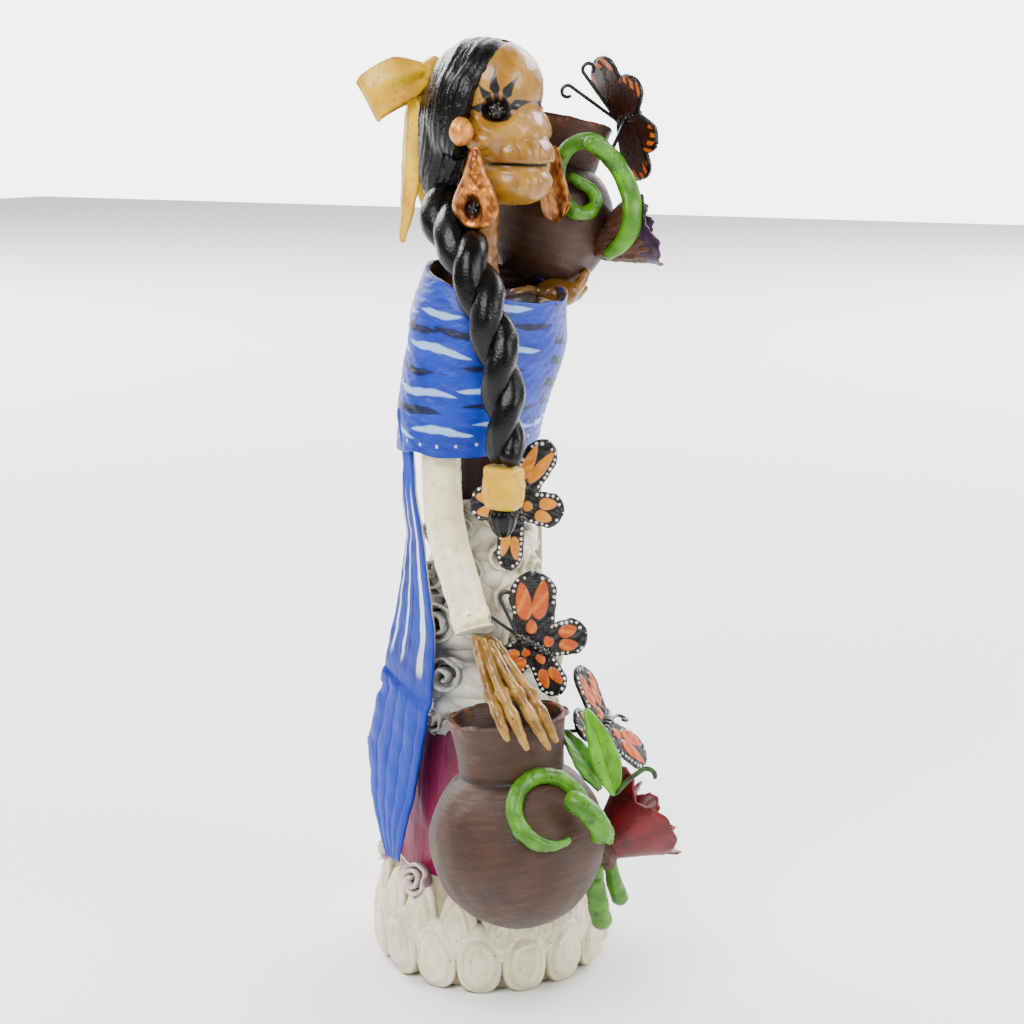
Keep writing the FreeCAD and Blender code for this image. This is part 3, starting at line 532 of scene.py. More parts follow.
# ---- arms and hands ----
def arms():
    """Both sleeves, wrinkled at the elbow, and their ribbed and chipped cuffs."""
    cream, stain = rgb(246, 238, 206), rgb(176, 148, 108)
    bits = Bits()
    right = Tube([(-21.5, 2, 203, 6.1), (-26.6, 2.4, 178, 6.2), (-30, -0.8, 153, 6.15),
                  (-35.5, -11.2, 130.8, 5.9), (-36.0, -12.2, 128.6, 5.8)], 170, 44, end_round=False)
    z = right.p[..., 2]
    folds = 0.13 * np.sin(z * 2.6 + 1.2 * np.sin(right.a * 2) + 2.2 * ripple(right.p, 9, 21)) * peak(z, 172, 9)
    folds = folds + 0.16 * ripple(right.p, 7, 22) + 0.5 * peak(z, 163, 7) * np.cos(right.a - 1.2).clip(0)
    right.swell(folds - 0.1)
    worn = ease(ripple(right.p, 10, 23, 3), 0.75, 1.0)[..., None] * 0.35
    # The folds' hollows are darkened: painted shade.
    bits.add(right.p, blend(cream, stain, worn), 0.3 * (-folds / 0.4).clip(0, 1))
    left = Tube([(19, 2, 205, 5.3), (19.4, -1, 193, 5.3), (20.4, -4, 192, 5.1), (21.6, -7, 204, 4.8),
                 (22.6, -8.5, 212.5, 4.4)], 90, 32)
    left.swell(0.2 * ripple(left.p, 7, 24))
    bits.add(left.p, cream)
    bits.make("sleeves_painted", BLOUSE, stands_for=["sleeve_right", "sleeve_left"], slot="blouse_white")
    cuffs = Bits()
    ends = [(vec(-35.3, -11.0, 131.2), vec(-37.3, -14.6, 123.5), 6.0),
            (vec(22.5, -8.4, 212), vec(24, -9.6, 217.6), 4.6)]
    for i, (start, end, r) in enumerate(ends):
        cuff = Tube([(*start, r), (*blend(start, end, 0.5), r * 1.02), (*end, r)], 70, 60,
                    end_round=False, start_round=False)
        s = cuff.s
        ribs = 0.42 * peak(s, 0.12, 0.05) + 0.5 * peak(s, 0.52, 0.14) + 0.5 * peak(s, 0.9, 0.07) - 0.35
        ribs = ribs + 0.14 * ripple(cuff.p, 4, 30 + i)
        cuff.swell(ribs)
        chip = ease(ripple(cuff.p, 5.5, 40 + i, 3), 0.72, 0.8)[..., None]
        # The grooves between the ribs are darkened: painted shade.
        cuffs.add(cuff.p, blend(cream * 1.02, rgb(122, 66, 36), chip), 0.5 * (-ribs / 0.4).clip(0, 1))
    cuffs.make("cuffs_painted", BLOUSE, stands_for=["cuff_right", "cuff_left"], slot="blouse_white")


TAN, TAN_DARK = rgb(148, 114, 44), rgb(62, 42, 14)


def bony_finger(bits, stations, seed):
    """A finger with painted shade along the crease on its underside."""
    finger = Tube(stations, 96, 22)
    finger.swell(0.12 * ripple(finger.p, 3.0, seed))
    line = 0.8 * peak(np.cos(finger.a), -1, 0.5) * ease(finger.s, 0.5, 0.1)
    warm = blend(TAN, rgb(184, 150, 80), ease(ripple(finger.p, 7, seed + 1), -0.6, 0.9)[..., None])
    stain = ease(ripple(finger.p, 3.5, seed + 2, 3), 0.7, 1.1)[..., None] * 0.6
    bits.add(finger.p, blend(warm, TAN_DARK, stain), line.clip(0, 0.75))


def hands():
    """The right hand reaches into the lower pot; the left one carries the upper pot."""
    bits = Bits()
    wrist = [spot(-4.2, 43.0, 123.0), spot(-2.2, 44.6, 122.6), spot(-0.2, 45.2, 122.2), spot(1.8, 44.6, 121.8)]
    knuckles = [spot(0.4, 54.4, 108.6), spot(4.0, 56.6, 109.6), spot(8.4, 56.0, 109.6), spot(12.6, 53.2, 108.0)]
    tips = [spot(6.0, 66.2, 97.8), spot(11.6, 67.4, 95.6), spot(18.2, 63.8, 94.2), spot(20.4, 60.4, 95.2)]
    for i, (root, knuckle, tip) in enumerate(zip(wrist, knuckles, tips)):
        mid_palm = blend(root, knuckle, 0.5) + SIDE * 1.4
        joint = blend(knuckle, tip, 0.42) + SIDE * 1.9 + UP * 0.9
        near = blend(joint, tip, 0.6) + SIDE * 0.5
        bony_finger(bits, [(*root, 1.5), (*mid_palm, 1.55), (*blend(mid_palm, knuckle, 0.75), 1.6),
                           (*knuckle, 2.35), (*blend(knuckle, joint, 0.5), 1.65), (*joint, 1.95), (*near, 1.35),
                           (*tip, 0.8)], 50 + 3 * i)
    palm = Tube(set_out((-1.2, 41.6, 122.6, 3.6), (2.0, 46.4, 116.0, 4.6), (6.0, 50.4, 110.0, 4.4),
                        (8.0, 51.0, 107.5, 3.2)), 60, 30)
    palm.swell(0.25 * ripple(palm.p, 5, 70))
    bits.add(palm.p, TAN * 0.8, 0.45)
    bits.ball(vec(31, -8, 219.5), (8, 6.6, 4.2), (-0.2, -0.3, 0.9), (0.9, -0.4, 0.2), TAN * 0.9, 0.15, 24, 36)
    bits.add(Tube([(23.6, -9.4, 216.6, 3.6), (27.6, -10, 219.6, 4.0), (30, -9, 220, 4)], 30, 24).p, TAN, 0.1)
    roots = [vec(35, -11.4, 220), vec(37, -8, 217.8), vec(37.6, -4, 216.6)]
    tips = [vec(41, -14.6, 226.6), vec(46.4, -11.6, 220.6), vec(48.4, -5.4, 217.4)]
    for i, (root, tip) in enumerate(zip(roots, tips)):
        sag = blend(root, tip, 0.5) - UP * 1.2
        bony_finger(bits, [(*(root - (2, 0, 0)), 2.4), (*root, 2.7), (*sag, 2.1), (*tip, 1.3)], 80 + 3 * i)
    bits.make("hands_painted", SKIN, stands_for=["hand_right", "hand_left"], slot="skin_clay")


# ---- shawl ----
BLUE, LIGHT, INK = rgb(30, 80, 182), rgb(176, 204, 234), rgb(5, 7, 14)
# The wrap's outline: rows of centre x, centre y, height, half width and half depth.
WRAP = vec(-5, 3, 175, 31.5, 21.5, -3, 2.2, 190, 32.5, 23.0, 0, 1, 206, 32.5, 23.6, 1, 0.5, 219, 31, 23.0,
           3, -0.5, 236, 26, 18).reshape(-1, 5)


def wrap_at(angle, z, inset=0.0):
    """A point on the wrap at an angle in degrees and a height, set in by inset."""
    angle, z = np.broadcast_arrays(angle, z)
    values = [np.interp(z, WRAP[:, 2], WRAP[:, k]) for k in (0, 1, 3, 4)]
    a = np.radians(angle)
    return np.stack([values[0] - (values[2] - inset) * np.sin(a), values[1] - (values[3] - inset) * np.cos(a), z], -1)


def brush(paint, s, z, strokes):
    """Lays tapered strokes (start, length, height, slope, half-width, colour) on a skin with coordinates s, z."""
    for i, (start, length, height, slope, half, colour) in enumerate(strokes):
        t = (s - start) / length
        line = height + slope * (s - start) + 0.5 * np.sin(0.25 * s + i)
        wide = half * np.sin(math.pi * t.clip(0, 1)).clip(0, 1) ** 0.6 * (1 + 0.10 * np.sin(0.9 * s + 2 * i))
        inside = ease(wide - np.abs(z - line), 0.0, 0.28) * (t > 0) * (t < 1)
        streak = 0.90 + 0.10 * np.sin(7 * (z - line) + 0.3 * s)
        paint = blend(paint, colour, (inside * streak)[..., None])
    return paint


def shawl_wrap():
    """The open ring of painted clay round the shoulders."""
    bits = Bits()
    angle = np.linspace(0, 360, 420, endpoint=False)[None, :]
    t = np.linspace(0, 1, 170)[:, None]
    flat = wrap_at(angle, 224)
    top = 226 - 0.03 * flat[..., 0] + 0.26 * flat[..., 1]
    top = top - 2.0 * peak(angle, 66, 16) + 0.5 * ripple(flat, 18, 90)
    bottom = 175.2 + 0.7 * ripple(wrap_at(angle, 175), 22, 91).clip(-0.2) + 0.4
    z = blend(bottom, top, t)
    skin = wrap_at(angle, z)
    out = unit(skin * vec(1, 1, 0))
    lift = 0.5 * ripple(skin, 30, 92) + 0.13 * ripple(skin * vec(1, 1, 2.5), 6, 93) - 0.25
    lift = lift - 1.2 * ease(t, 0.9, 1.0) * peak(angle, 66, 22)
    skin = skin + out * lift[..., None]
    inside = wrap_at(angle, z, 1.9)[::-1] + (out * np.minimum(lift, 0)[..., None])[::-1]
    drawn_in = 3.4 * ease(skin @ ALONG, 8, 22) * ease(z, 206, 176)
    skin = moved(skin, (-drawn_in, ALONG))
    inside = moved(inside, (-drawn_in[::-1], ALONG))
    s = angle * 0.48 + 0 * t
    dice = np.random.default_rng(9)
    strokes = []
    for row in range(7):
        height = 218.5 - 6.1 * row
        start = dice.uniform(0, 12)
        pale = row % 2 == 0
        while start < 176:
            length = dice.uniform(18, 32)
            colour = LIGHT * dice.uniform(0.9, 1.1) if pale else INK
            half = dice.uniform(1.0, 1.35) if pale else dice.uniform(1.1, 1.5)
            strokes.append((start, length, height + dice.uniform(-0.8, 0.8), dice.uniform(0.06, 0.16), half, colour))
            start += length * dice.uniform(0.75, 1.15) + (0 if pale else dice.uniform(1, 7))
            pale = pale != (dice.uniform() < 0.1)
    base = BLUE * (1 + 0.16 * ripple(skin * vec(0.4, 0.4, 2), 7, 94))[..., None]
    paint = brush(base, s, z, strokes)
    for k in range(26):
        away = np.hypot(s - 7.1 * k - 3, z - 179.4 - 0.5 * math.sin(k))
        paint = blend(paint, rgb(228, 236, 244), ease(0.55 - away, 0, 0.2)[..., None])
    lining = blend(rgb(46, 28, 20), rgb(96, 62, 40), ease(ripple(inside, 9, 95), -1, 1)[..., None])
    bits.add(np.concatenate([skin, inside, skin[:1]]), np.concatenate([paint, lining, paint[:1]]), caps=False)
    bits.make("shawl_wrap_painted", SHAWL, stands_for=["shawl_wrap"], slot="shawl_blue")


# Each shawl end's two edges: rows of near x, near y, far x, far y and height.
PANELS = {
    "right": [(-30.0, 13.0, -28.6, 17.5, 190), (-33.8, 8.6, -32.4, 12.9, 174), (-34.0, 7.4, -32.4, 12.9, 160),
              (-33.2, 6.0, -30.0, 13.5, 150), (-32.4, 4.6, -28.0, 16.8, 134), (-31.4, 3.0, -25.4, 22.6, 116),
              (-31.2, 4.4, -23.4, 27.6, 98), (-33.0, 6.6, -22.0, 34.6, 76), (-35.4, 10.4, -27.0, 29.6, 56),
              (-37.4, 13.6, -35.6, 18.4, 40)],
    "left": [(30.0, 5.0, 28.6, 9.5, 190), (31.6, -0.6, 30.4, 5.0, 172), (31.8, -2.2, 30.2, 4.4, 158),
             (31.2, -3.2, 28.2, 11.4, 138), (31.0, -3.4, 26.4, 19.6, 116), (31.2, -2.0, 25.6, 22.4, 98),
             (33.4, 0.4, 25.8, 29.0, 76), (35.8, 3.0, 30.0, 24.0, 56), (37.6, 6.4, 36.4, 11.4, 40)],
}
# Each stripe's middle and half width as shares of the panel's width, and its colour.
CHALK, NAVY = rgb(226, 232, 238), rgb(22, 40, 104)
STRIPES = [(0.23, 0.062, CHALK), (0.50, 0.022, NAVY), (0.62, 0.030, CHALK), (0.76, 0.016, NAVY),
           (0.86, 0.030, CHALK)]
SEAM = 97.0


def smoothed(values, half_window):
    """A running mean whose ends repeat the end values."""
    size = 2 * half_window + 1
    return np.convolve(np.pad(values, half_window, "edge"), np.ones(size) / size, "valid")


def shawl_panels():
    """The shawl's hanging ends: striped down to a slanted seam, then a grooved fringe."""
    for side, top, outward, turn in (("right", 189, -1, -1), ("left", 188, 1, 1)):
        rows = vec(*PANELS[side])[::-1]
        z = np.linspace(top, 41, 260)
        near_x, near_y, far_x, far_y = [smoothed(np.interp(z, rows[:, 4], rows[:, k]), 6) for k in range(4)]
        near = np.stack([near_x, near_y, z], 1)[:, None]
        far = np.stack([far_x, far_y, z], 1)[:, None]
        zz = z[:, None]
        uu = np.linspace(0, 1, 96)[None, :]
        notch = 0.05 * (zz < SEAM) * (1 - np.abs(((zz - 44) / 16) % 1 - 0.3))
        p = blend(near, far, (uu * (1 - notch))[..., None])
        out = unit(np.cross(UP, unit(far - near)))
        out = out * np.sign(outward * out[..., :1])
        slant = SEAM - 4 + 9 * uu
        fringe = ease(slant - zz, 0, 1.6)
        fan = uu + 0.10 * np.sin((zz - 40) / 22)
        grooves = 0.42 * np.abs(np.sin(fan * 15 + 0.3 * ripple(p, 20, 96))) ** 0.7 * fringe
        step = 0.7 * ease(slant - zz, -0.5, 1.0)
        curve = 1.5 * np.sin(math.pi * uu) * ease(zz, 130, 70) * ease(zz, 40, 60)
        body = 0.25 * ripple(p, 16, 97) + 0.08 * ripple(p * vec(1, 1, 0.3), 3, 98)
        p = p + out * (grooves + step + curve * 0.7 + body - 0.4)[..., None]
        paint = BLUE * (1 + 0.14 * ripple(p * vec(1, 1, 0.2), 5, 99))[..., None]
        wobble = 0.012 * np.sin(zz / 7) + 0.006 * ripple(p, 8, 100)
        ends = ease(zz, SEAM + 2 + 9 * uu, SEAM + 7 + 9 * uu) * ease(zz, 168, 158)
        for centre, half, colour in STRIPES:
            line = ease(half - np.abs(uu - centre - wobble), 0, 0.012) * ends
            paint = blend(paint, colour, line[..., None])
        shade = 0.35 * peak(zz, slant - 0.4, 0.5) + 0.25 * fringe * (1 - np.abs(np.sin(fan * 15)) ** 0.4)
        paint = blend(paint, BLUE * 1.12, (fringe * 0.8)[..., None])
        thick = 1.9 + 0.6 * ease(zz, SEAM, SEAM - 6)
        cream = blend(rgb(206, 200, 182), BLUE * 0.9, ease(zz, 122, 104)[..., None] * np.ones_like(p))
        bits = Bits()
        bits.slab(p[:, ::turn], thick, paint[:, ::turn], shade[:, ::turn], cream[:, ::turn])
        hidden = ["shawl_panel_" + side, "shawl_fringe_" + side]
        bits.make("shawl_end_" + side, SHAWL, stands_for=hidden, slot="shawl_blue")


# ---- pots ----
BROWN, BROWN_LIGHT, CLAY = rgb(86, 62, 46), rgb(100, 74, 54), rgb(142, 92, 62)


LOWER = {"centre": vec(-40, -31, 60), "lean": vec(0.064, 0.125, 1), "radius": 27.2}
UPPER = {"centre": vec(43.8, 2.8, 242), "lean": vec(0.20, -0.13, 1), "radius": 23.2}


def pot(name, shape, seed):
    """A pot turned from its outline: belly, flared collar and hollow inside."""
    centre, radius = shape["centre"], shape["radius"]
    z = unit(shape["lean"])
    x = unit(np.cross(vec(0, 1, 0), z))
    y = np.cross(z, x)
    wall = 2.5
    neck, rim, top = radius * 0.60, radius * 0.68, radius * 1.44
    neck_z = math.sqrt(radius**2 - neck**2)
    inner, inner_neck = radius - wall, neck - wall
    inner_neck_z = math.sqrt(inner**2 - inner_neck**2)
    belly_rows, collar_rows = 130, 80
    t = np.linspace(-math.pi / 2 + 0.02, math.asin(neck_z / radius), belly_rows)
    belly = np.stack([radius * np.cos(t), radius * np.sin(t)], 1)
    collar = spline([(neck, neck_z), (blend(neck, rim, 0.25) - 0.3, blend(neck_z, top, 0.35)),
                     (rim - 0.3, top - 1.6), (rim + 0.1, top - 0.5), (rim - 0.7, top), (rim - wall + 0.4, top - 0.1),
                     (rim - wall, top - 1.5), (inner_neck + 0.2, blend(neck_z, top, 0.4)),
                     (inner_neck, inner_neck_z)], collar_rows)
    t = np.linspace(math.asin(inner_neck_z / inner), -math.pi / 2 + 0.02, 60)
    hollow = np.stack([inner * np.cos(t), inner * np.sin(t)], 1)
    outline = np.concatenate([belly, collar[1:], hollow[1:]])
    a = np.linspace(0, 2 * math.pi, 240, endpoint=False)[None, :]
    r, h = outline[:, :1], outline[:, 1:]
    slope = unit(np.gradient(outline, axis=0))
    normal = np.stack([slope[:, 1], -slope[:, 0]], 1)
    local = np.stack([r * np.cos(a), r * np.sin(a), h + 0 * a], -1)
    lift = 0.28 * ripple(local, 22, seed) + 0.07 * ripple(local * vec(0.35, 0.35, 3), 3.0, seed + 1) - 0.2
    joint = 0.5 * peak(h, neck_z, 0.8) * (r >= neck - 0.4)
    lift = lift - joint + 0.25 * ripple(local, 8, seed + 2) * ease(h, top - 5, top)
    rr, hh = r + normal[:, :1] * lift, h + normal[:, 1:] * lift
    p = moved(centre, (rr * np.cos(a), x), (rr * np.sin(a), y), (hh, z))
    tone_and_shade = ease(ripple(local * vec(0.5, 0.5, 2.2), 9, seed + 3, 3), -1, 1)
    paint = blend(BROWN, BROWN_LIGHT, tone_and_shade[..., None])
    streaks = ease(ripple(local * vec(0.25, 0.25, 5), 4, seed + 4, 3), 0.35, 1.1)
    streaks = streaks * ease(h, -radius * 0.2, radius * 0.7)
    paint = blend(paint, rgb(140, 104, 82), 0.3 * streaks[..., None])
    inside = (np.arange(len(outline)) >= belly_rows + 0.65 * collar_rows)[:, None] * 1.0
    edge = ease(ripple(local, 6.5, seed + 5, 3), 0.25, 0.55) * peak(h, top - 1.0, 2.2)
    paint = blend(paint, CLAY, (edge.clip(0, 1) * 0.85)[..., None])
    # The neck's joint is darkened; the lower belly and the inside, darker with depth, are painted shade.
    dark = 0.55 * joint / 0.5 + 0.25 * ease(h, -radius * 0.55, -radius) * (1 - inside)
    dark = dark + inside * (0.25 + 0.55 * ease(h, top, neck_z))
    bits = Bits()
    bits.add(p, paint, (dark + 0 * a).clip(0, 0.9))
    bits.make(name + "_turned", POT, stands_for=[name], slot="pot_brown")


# ---- leaves, tendrils and flowers ----
GREEN, GREEN_DARK, GREEN_LIGHT = rgb(92, 144, 8), rgb(50, 92, 12), rgb(116, 170, 16)


def vine(bits, stations, seed, dark_tip=True, end_round=True, n=150):
    """A rolled green stalk, unevenly painted."""
    skin = Tube(stations, n, 30, end_round=end_round)
    skin.swell(0.16 * ripple(skin.p, 6, seed) + 0.05 * ripple(skin.p, 2, seed + 1))
    tone = ease(ripple(skin.p, 8, seed + 2), -1, 1)[..., None]
    paint = blend(blend(GREEN_DARK, GREEN, 0.75), GREEN_LIGHT, 0.8 * tone)
    paint = blend(paint, rgb(58, 74, 30), (ease(ripple(skin.p, 5, seed + 3, 3), 0.7, 0.95) * 0.7)[..., None])
    dark = 0.6 * ease(skin.s, 0.94, 1.0) if dark_tip else 0.0
    bits.add(skin.p, paint, dark)


def leaf(bits, root, tip, face, width, seed, bend, cup=0.8, thickness=1.4, colour=GREEN, under=None):
    """A pointed leaf with a pressed midrib, side veins and a wavy rim."""
    ahead = unit(tip - root)
    side = unit(np.cross(face, ahead))
    up = np.cross(ahead, side)
    length = np.linalg.norm(tip - root)
    t = np.linspace(0, 1, 60)[:, None]
    u = np.linspace(-1, 1, 27)[None, :]
    widest = 0.38
    swelling = np.sin(math.pi / 2 * (t / widest).clip(0, 1)) ** 0.8
    tapering = np.cos(math.pi / 2 * ((t - widest) / (1 - widest)).clip(0, 1)) ** 0.9
    shape = np.where(t < widest, swelling, tapering)
    half = width / 2 * (0.10 + 0.90 * shape)
    half = half * np.where(t > 0.97, np.sqrt(np.clip((1 - t) / 0.03, 0.02, 1)), 1)
    lift = bend * np.sin(math.pi * t) - cup * width * 0.12 * (1 - np.abs(u)) + 0.25 * np.sin(9 * t + seed) * np.abs(u)
    veins = -0.28 * peak(u, 0, 0.10) + 0.09 * np.sin(np.abs(u) * 7 - t * 34)
    p = moved(root, (t * length, ahead), (u * half, side), (lift + veins, up))
    paint = blend(colour * 0.72, colour * 1.3, ease(ripple(p, 7, seed), -1, 1)[..., None])
    bits.slab(p, thickness, paint, 0.35 * peak(u, 0, 0.07), under)


def petal_cup(bits, base, axis, inner, outer, height, seed, paint, deep, layers, count):
    """A cup of overlapping petals with ragged, curling edges; layers go from the outside in."""
    z = unit(axis)
    x = unit(np.cross(UP, z))
    y = np.cross(z, x)
    dice = np.random.default_rng(seed)
    for layer in range(layers):
        k = layer / max(layers - 1, 1)
        for i in range(count):
            middle_angle = 2 * math.pi * (i + 0.5 * layer) / count + dice.uniform(-0.15, 0.15)
            t = np.linspace(0, 1, 40)[:, None]
            u = np.linspace(-1, 1, 33)[None, :]
            spread = (2 * math.pi / count) * (0.80 - 0.16 * k)
            pointed = 1 - 0.55 * ease(t, 0.72, 1.0) * np.abs(u) ** 0.8
            angle = middle_angle + u * spread * pointed
            r = inner + (outer * (1 - 0.42 * k) - inner) * (t ** (1.05 - 0.3 * k)) * (1 - 0.10 * u**2)
            r = r + (1.0 - k) * 1.2 * ease(t, 0.75, 1.0) * (1 - np.abs(u))
            h = height * (0.98 + 0.12 * k) * t - 0.10 * height * u**2 * t**2
            h = h + 0.8 * t**3 * np.sin(3.5 * u + i + layer) + 0.3 * t**6 * np.sin(13 * u + 2 * i)
            r = r - 0.25 * peak(u, 0, 0.12) * t
            p = moved(base, (r * np.cos(angle), x), (r * np.sin(angle), y), (h, z))
            tone = ease(ripple(p, 9, seed + i + 10 * layer), -1.3, 1.3)[..., None]
            # Petals darken towards their base and along their middles: painted shade inside the cup.
            bits.slab(p, 1.15, blend(deep, paint, tone), 0.25 * (1 - t) + 0.25 * peak(u, 0, 0.08))
    heart = (outer * 0.30, outer * 0.30, height * 0.34)
    bits.ball(base + z * height * 0.62, heart, z, x, deep * 0.5, 0.3, 14, 20)


def ring_stations(centre, normal, start, sweep, r, tube, steps=26, inward=0.0, taper=0.65):
    """Line stations along an arc of sweep degrees, which may wind inwards and thin out."""
    n = unit(normal)
    a = unit(start - n * (start @ n))
    b = np.cross(n, a)
    rows = []
    for i in range(steps):
        t = i / (steps - 1)
        angle = math.radians(sweep) * t
        rr = r * (1 - inward * ease(t, 0.55, 1.0))
        at = centre + rr * (math.cos(angle) * a + math.sin(angle) * b)
        rows.append((*at, tube * (1 - taper * ease(t, 0.70, 1.0))))
    return rows


def on_belly(pot, rows, out):
    """A line's stations moved on to a pot's belly, raised by out."""
    laid = []
    for x, y, z, r in rows:
        way = unit(vec(x, y, z) - pot["centre"])
        laid.append((*(pot["centre"] + way * (pot["radius"] + out + 0.2 * r)), r))
    return laid


def lower_flowers():
    """The lower pot's tendril, leaves, hooked wire and red flower on its bell."""
    green = Bits()
    outward = direction(0.36, 0.69, 0.62)
    ring = 11.5
    centre = LOWER["centre"] + outward * math.sqrt((LOWER["radius"] + 1.8) ** 2 - ring**2)
    rows = ring_stations(centre, outward, direction(0.93, 0, 0.36), 292, ring, 2.5, inward=0.16)
    vine(green, on_belly(LOWER, rows, 1.0), 110)
    green.make("tendril_lower", LEAF, stands_for=["pot_lower_tendril"], slot="leaf_green")
    leaves = Bits()
    pod = ring_stations(spot(22.6, 66, 70), -direction(-0.35, 0.80, -0.25), direction(0.10, 0.02, 1.0), 84, 12.0, 3.4,
                        12, taper=0.0)
    vine(leaves, pod, 113, dark_tip=False, end_round=False, n=90)
    leaf(leaves, spot(38.6, 52, 75), spot(29.6, 46.5, 101), direction(0.45, 0.85, 0.1), 9.6, 114, 1.4,
         colour=GREEN_LIGHT)
    leaf(leaves, spot(33.6, 56, 78.5), spot(21.4, 44, 94.5), direction(0.55, 0.5, 0.6), 9.0, 115, 1.2,
         under=rgb(84, 52, 34))
    vine(leaves, set_out((33.6, 48, 51, 2.0), (33.0, 48.4, 44, 2.9), (34.4, 47.4, 34, 3.3),
                         (36.2, 46.4, 28.0, 3.2)), 116, n=90)
    vine(leaves, set_out((37.6, 43, 50, 1.8), (38.6, 42.6, 44, 2.4), (40.6, 41, 37, 2.7), (41.8, 40, 33, 2.6)),
         117, n=90)
    leaf(leaves, spot(33.6, 69.5, 73.5), spot(36.4, 67.6, 66.4), direction(0.3, 0.9, 0.3), 5.0, 118, 0.3, 0.2, 1.2,
         colour=GREEN_LIGHT)
    leaves.make("leaves_lower", LEAF, stands_for=["pot_lower_leaves"], slot="leaf_green")
    wire = Bits()
    knee, hook = spot(46.2, 51.0, 82.6), 2.6
    hook_centre = knee + direction(0.66, 0, -0.75) * hook
    bend = ring_stations(hook_centre, -SIDE, knee - hook_centre, 150, hook, 0.8, 10, taper=0.2)
    thread = Tube(set_out((38.6, 51.6, 75.4, 0.85), (42.4, 51.2, 79.6, 0.8)) + bend, 150, 24)
    tone = ease(ripple(thread.p, 4, 119), -1, 1)[..., None]
    wire.add(thread.p, blend(rgb(44, 66, 24), rgb(78, 120, 32), tone), 0.1)
    wire.make("wire_tendril", LEAF, stands_for=["pot_lower_wire_tendril"], slot="leaf_green")
    flower = Bits()
    base, axis = vec(-21.6, -49.6, 52.6), direction(0.80, -0.26, 0.50)
    petal_cup(flower, base + axis * 3, axis, 5.0, 15.8, 18.4, 120, rgb(148, 18, 44), rgb(116, 14, 34), 2, 4)
    flower.make("flower_lower", RED, stands_for=["pot_lower_flower"], slot="flower_red")
    bell = Bits()
    stem = Tube([(*(base + axis * d), r) for d, r in ((-5, 8.6), (1, 8.2), (6.5, 7.2))], 60, 60)
    stem.swell(0.3 * np.abs(np.sin(stem.a * 9 + stem.s * 2)) + 0.25 * ripple(stem.p, 3, 122) - 0.4)
    tone = ease(ripple(stem.p, 3, 123), -1, 1)[..., None]
    bell.add(stem.p, blend(rgb(84, 56, 38), rgb(122, 88, 58), tone), 0.15)
    bell.make("bell_lower", POT, stands_for=["pot_lower_calyx"], slot="pot_brown")


def upper_flowers():
    """The upper pot's tendril, leaves and purple flower on its bell."""
    green = Bits()
    path = set_out(
        (38.7, -20.4, 264.0, 2.3), (34.2, -20.6, 267.4, 2.6), (29.7, -21.0, 268.1, 2.7), (25.4, -22.0, 266.2, 2.6),
        (22.6, -22.0, 262.3, 2.5), (21.7, -20.2, 257.2, 2.4), (23.0, -17.3, 251.0, 2.4), (26.2, -16.6, 246.8, 2.4),
        (30.6, -18.2, 245.6, 2.3), (33.6, -20.6, 247.8, 2.2), (33.6, -21.4, 251.2, 2.0), (31.0, -20.8, 254.0, 1.9),
        (27.6, -19.9, 256.0, 1.7), (25.2, -20.0, 257.6, 1.5))
    vine(green, path, 130, n=220)
    green.make("tendril_upper", LEAF, stands_for=["pot_upper_tendril"], slot="leaf_green")
    leaves = Bits()
    vine(leaves, set_out((30.0, -14.5, 268.0, 2.4), (34.4, -17.6, 266.6, 2.7), (38.4, -20, 263, 3.0),
                         (41.6, -22.0, 258, 2.2)), 133, dark_tip=False)
    broad = Tube(set_out((35.0, -19.2, 267.0, 1.7), (40.4, -21.6, 261, 2.0), (44.6, -21.0, 253, 2.1),
                         (46.0, -18.6, 245, 2.1), (43.4, -18.6, 237, 1.9), (37.4, -22.0, 231.0, 1.0)),
                 160, 40, direction(0.75, -0.5, 0.3), 1.75)
    broad.swell(0.2 * ripple(broad.p, 12, 134) - 0.3 * peak(np.cos(broad.a * 2), 1, 0.3))
    leaves.add(broad.p, blend(GREEN * 0.9, GREEN_LIGHT, ease(ripple(broad.p, 9, 135), -1, 1)[..., None]))
    leaves.make("leaves_upper", LEAF, stands_for=["pot_upper_leaves"], slot="leaf_green")
    flower = Bits()
    base, axis = vec(42.8, -17.2, 234.5), unit(vec(0.44, -0.80, 0.33))
    petal_cup(flower, base + axis * 10, axis, 8.6, 13.0, 8.0, 136, rgb(84, 34, 84), rgb(42, 14, 40), 2, 5)
    flower.make("flower_upper", PURPLE, stands_for=["pot_upper_flower"], slot="flower_purple")
    bell = Bits()
    stem = Tube([(*(base + axis * d), r) for d, r in ((-3, 5.4), (3, 6.8), (9.0, 9.4), (15.0, 11.8))], 90, 90,
                end_round=False)
    stem.swell(0.3 * ripple(stem.p * vec(1, 1, 3), 5, 138) + 0.15 * np.sin(stem.a * 22) - 0.2)
    bell.add(stem.p, rgb(112, 74, 48), 0.1)
    bell.make("bell_upper", POT, stands_for=["pot_upper_calyx"], slot="pot_brown")


# ---- head ----
FACE_X, FACE_Y = vec(0.990, -0.139, 0), vec(0.139, 0.990, 0)
HEAD = np.stack([FACE_X, FACE_Y, UP])


def in_head(x, y, z):
    """A point in the head's own directions: x to its left, y back, z up."""
    return FACE_X * x + FACE_Y * y + UP * z


def egg(q, centre, radii):
    """Signed closeness to an ellipsoid: below zero inside it, in about millimetres."""
    d = (q - centre) / radii
    k0 = np.linalg.norm(d, axis=-1)
    k1 = np.linalg.norm(d / radii, axis=-1)
    return k0 * (k0 - 1) / np.maximum(k1, 1e-6)


def soft_min(a, b, k):
    """The smaller of two fields, rounded where they meet over about k."""
    h = np.clip(0.5 + 0.5 * (b - a) / k, 0, 1)
    return b + (a - b) * h - k * h * (1 - h)


